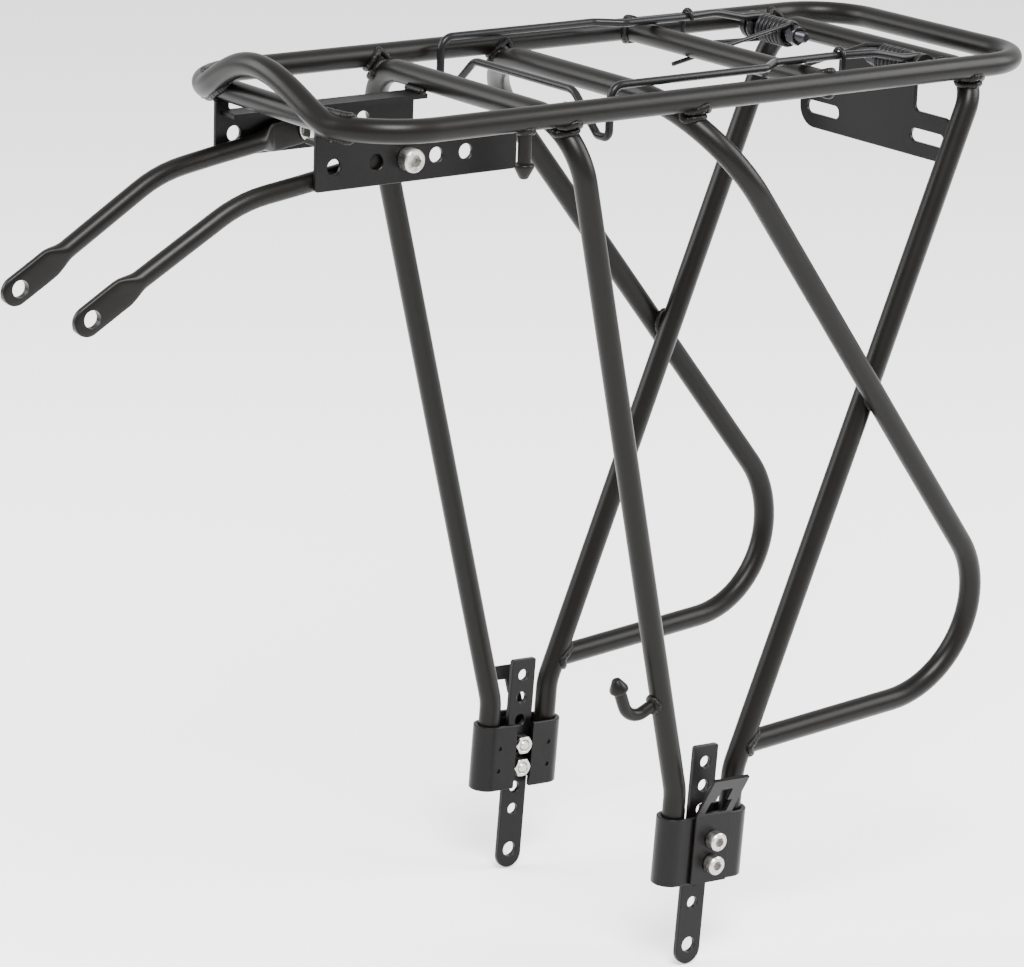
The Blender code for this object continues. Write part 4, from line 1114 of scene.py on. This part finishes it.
def armY(x):
    share = (x - flap["splayFront"]) / (flap["splayRear"] - flap["splayFront"])
    return flap["narrowY"] + (flap["eyeY"] - flap["narrowY"]) * min(max(share, 0.0), 1.0)


def springPath(side):
    hook = flap["wire"] + spring["wire"] + gap
    coilTop = spring["coil"] - flap["hingeDrop"]
    coilBottom = -spring["coil"] - flap["hingeDrop"]
    path = []
    for k in range(25):
        turn = spring["hookTurn"] * (1 - k / 24)
        path.append(fromDeck(spring["hookX"], side * (armY(spring["hookX"]) + hook * math.cos(turn)),
                             flapHeight() + hook * math.sin(turn)))
    knee = Vector((spring["hookX"], path[-1].y, deck["height"] + coilBottom))
    coilStart = fromDeck(flap["hingeX"], side * spring["outerY"], coilBottom)
    path += rounded([path[-1], knee, coilStart], [spring["knee"]], step=math.radians(9))[1:-1]
    perTurn = 32
    total = round((spring["turns"] + 0.5) * perTurn)
    for k in range(total + 1):
        turn = math.tau * k / perTurn
        y = spring["outerY"] + (spring["innerY"] - spring["outerY"]) * k / total
        path.append(fromDeck(flap["hingeX"] - spring["coil"] * math.sin(turn), side * y,
                             -spring["coil"] * math.cos(turn) - flap["hingeDrop"]))
    under = -deck["tube"] - spring["wire"] - gap
    legY = side * spring["legY"]
    path.append(fromDeck(flap["hingeX"] + spring["legLevel"], legY, coilTop))
    path.append(fromDeck(deck["crossX"], legY, under))
    share = spring["legTail"] / (deck["crossX"] - flap["hingeX"] - spring["legLevel"])
    path.append(fromDeck(deck["crossX"] + spring["legTail"], legY, under + (under - coilTop) * share))
    return path


def makeSpring(side, name):
    mesh = bmesh.new()
    roundTube(mesh, springPath(side), spring["wire"], 12)
    piece = finishMesh(f"torsion_spring_{name}", mesh, springWire)
    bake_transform(piece)
    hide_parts(f"flap_spring_{name}")


def makeLug(side, name):
    place = acrossY(flap["hingeX"], deck["height"] - flap["hingeDrop"])
    outer = lug["innerY"] + lug["thickness"]
    rear, front = lug["footRear"] - flap["hingeX"], lug["footFront"] - flap["hingeX"]
    h = lug["halfHeight"]
    start = math.asin(h / lug["radius"])
    arc = [(lug["radius"] * math.cos(t), lug["radius"] * math.sin(t))
           for t in [start - math.pi + (math.tau - 2 * start) * k / 30 for k in range(31)]]
    outline = [(rear, h), (rear, -h)] + arc
    mesh = bmesh.new()
    sideSheet(mesh, side, outline, [circle(m5["core"] + 0.0004)], lug["innerY"], outer, place, 0.0002)
    foot = [(rear, -h), (front, -h), (front, h), (rear, h)]
    sideSheet(mesh, side, foot, [], lug["innerY"] + 0.0005, deck["halfWidth"] - 0.003, place, 0.0002)
    settle(finishMesh(f"pivot_lug_{name}_tab", mesh, powderCoat), "frame", "frame_paint", f"pivot_lug_{name}")


for name, side in sides.items():
    makeSpring(side, name)
    makeLug(side, name)
    makeFasteners(side, name)
print("rack: flap, springs and fasteners made")

# pale floor, three soft lamps and a long lens
stage = {"floor": -0.0095, "size": 12.0, "tone": "#fbfbfb"}
mesh = bmesh.new()
bmesh.ops.create_grid(mesh, x_segments=2, y_segments=2, size=stage["size"],
                      matrix=Matrix.Translation((0, 0, stage["floor"])))
data = bpy.data.meshes.new("floor")
mesh.to_mesh(data)
mesh.free()
floor = bpy.data.objects.new("floor", data)
bpy.context.collection.objects.link(floor)
paper = bpy.data.materials.new("matt_paper")
paper.use_nodes = True
paper.node_tree.nodes["Principled BSDF"].inputs["Base Color"].default_value = srgb(stage["tone"])
paper.node_tree.nodes["Principled BSDF"].inputs["Roughness"].default_value = 0.9
data.materials.append(paper)

world = bpy.data.worlds.new("studio")
bpy.context.scene.world = world
world.use_nodes = True
world.node_tree.nodes["Background"].inputs["Color"].default_value = (1, 1, 1, 1)
world.node_tree.nodes["Background"].inputs["Strength"].default_value = 1.6

lamps = [
    {"at": (0.6, 1.2, 1.9), "to": (0.0, 0.0, 0.25), "size": 0.9, "power": 120},
    {"at": (-1.4, 0.9, 1.2), "to": (0.0, 0.0, 0.2), "size": 1.2, "power": 60},
    {"at": (1.2, -0.9, 1.0), "to": (0.0, 0.0, 0.2), "size": 1.0, "power": 40},
]
for number, entry in enumerate(lamps):
    light = bpy.data.lights.new(f"softbox{number}", "AREA")
    light.energy = entry["power"]
    light.size = entry["size"]
    holder = bpy.data.objects.new(f"softbox{number}", light)
    bpy.context.collection.objects.link(holder)
    holder.location = entry["at"]
    aim = Vector(entry["to"]) - Vector(entry["at"])
    holder.rotation_euler = aim.to_track_quat("-Z", "Y").to_euler()

view = {
    "at": Vector((1.08468, 1.37271, 0.71500)), "right": Vector((-0.8051, 0.5923, 0.0316)),
    "back": Vector((0.5751, 0.7666, 0.2855)), "lens": 145.1,
}
camera = bpy.data.objects.new("camera", bpy.data.cameras.new("camera"))
bpy.context.collection.objects.link(camera)
camera.data.lens = view["lens"]
camera.data.sensor_width = 36.0
back = view["back"].normalized()
right = (view["right"] - back * view["right"].dot(back)).normalized()
up = back.cross(right)
turn = Matrix((right, up, back)).transposed().to_4x4()
camera.matrix_world = Matrix.Translation(view["at"]) @ turn
bpy.context.scene.camera = camera

print("rack: done")
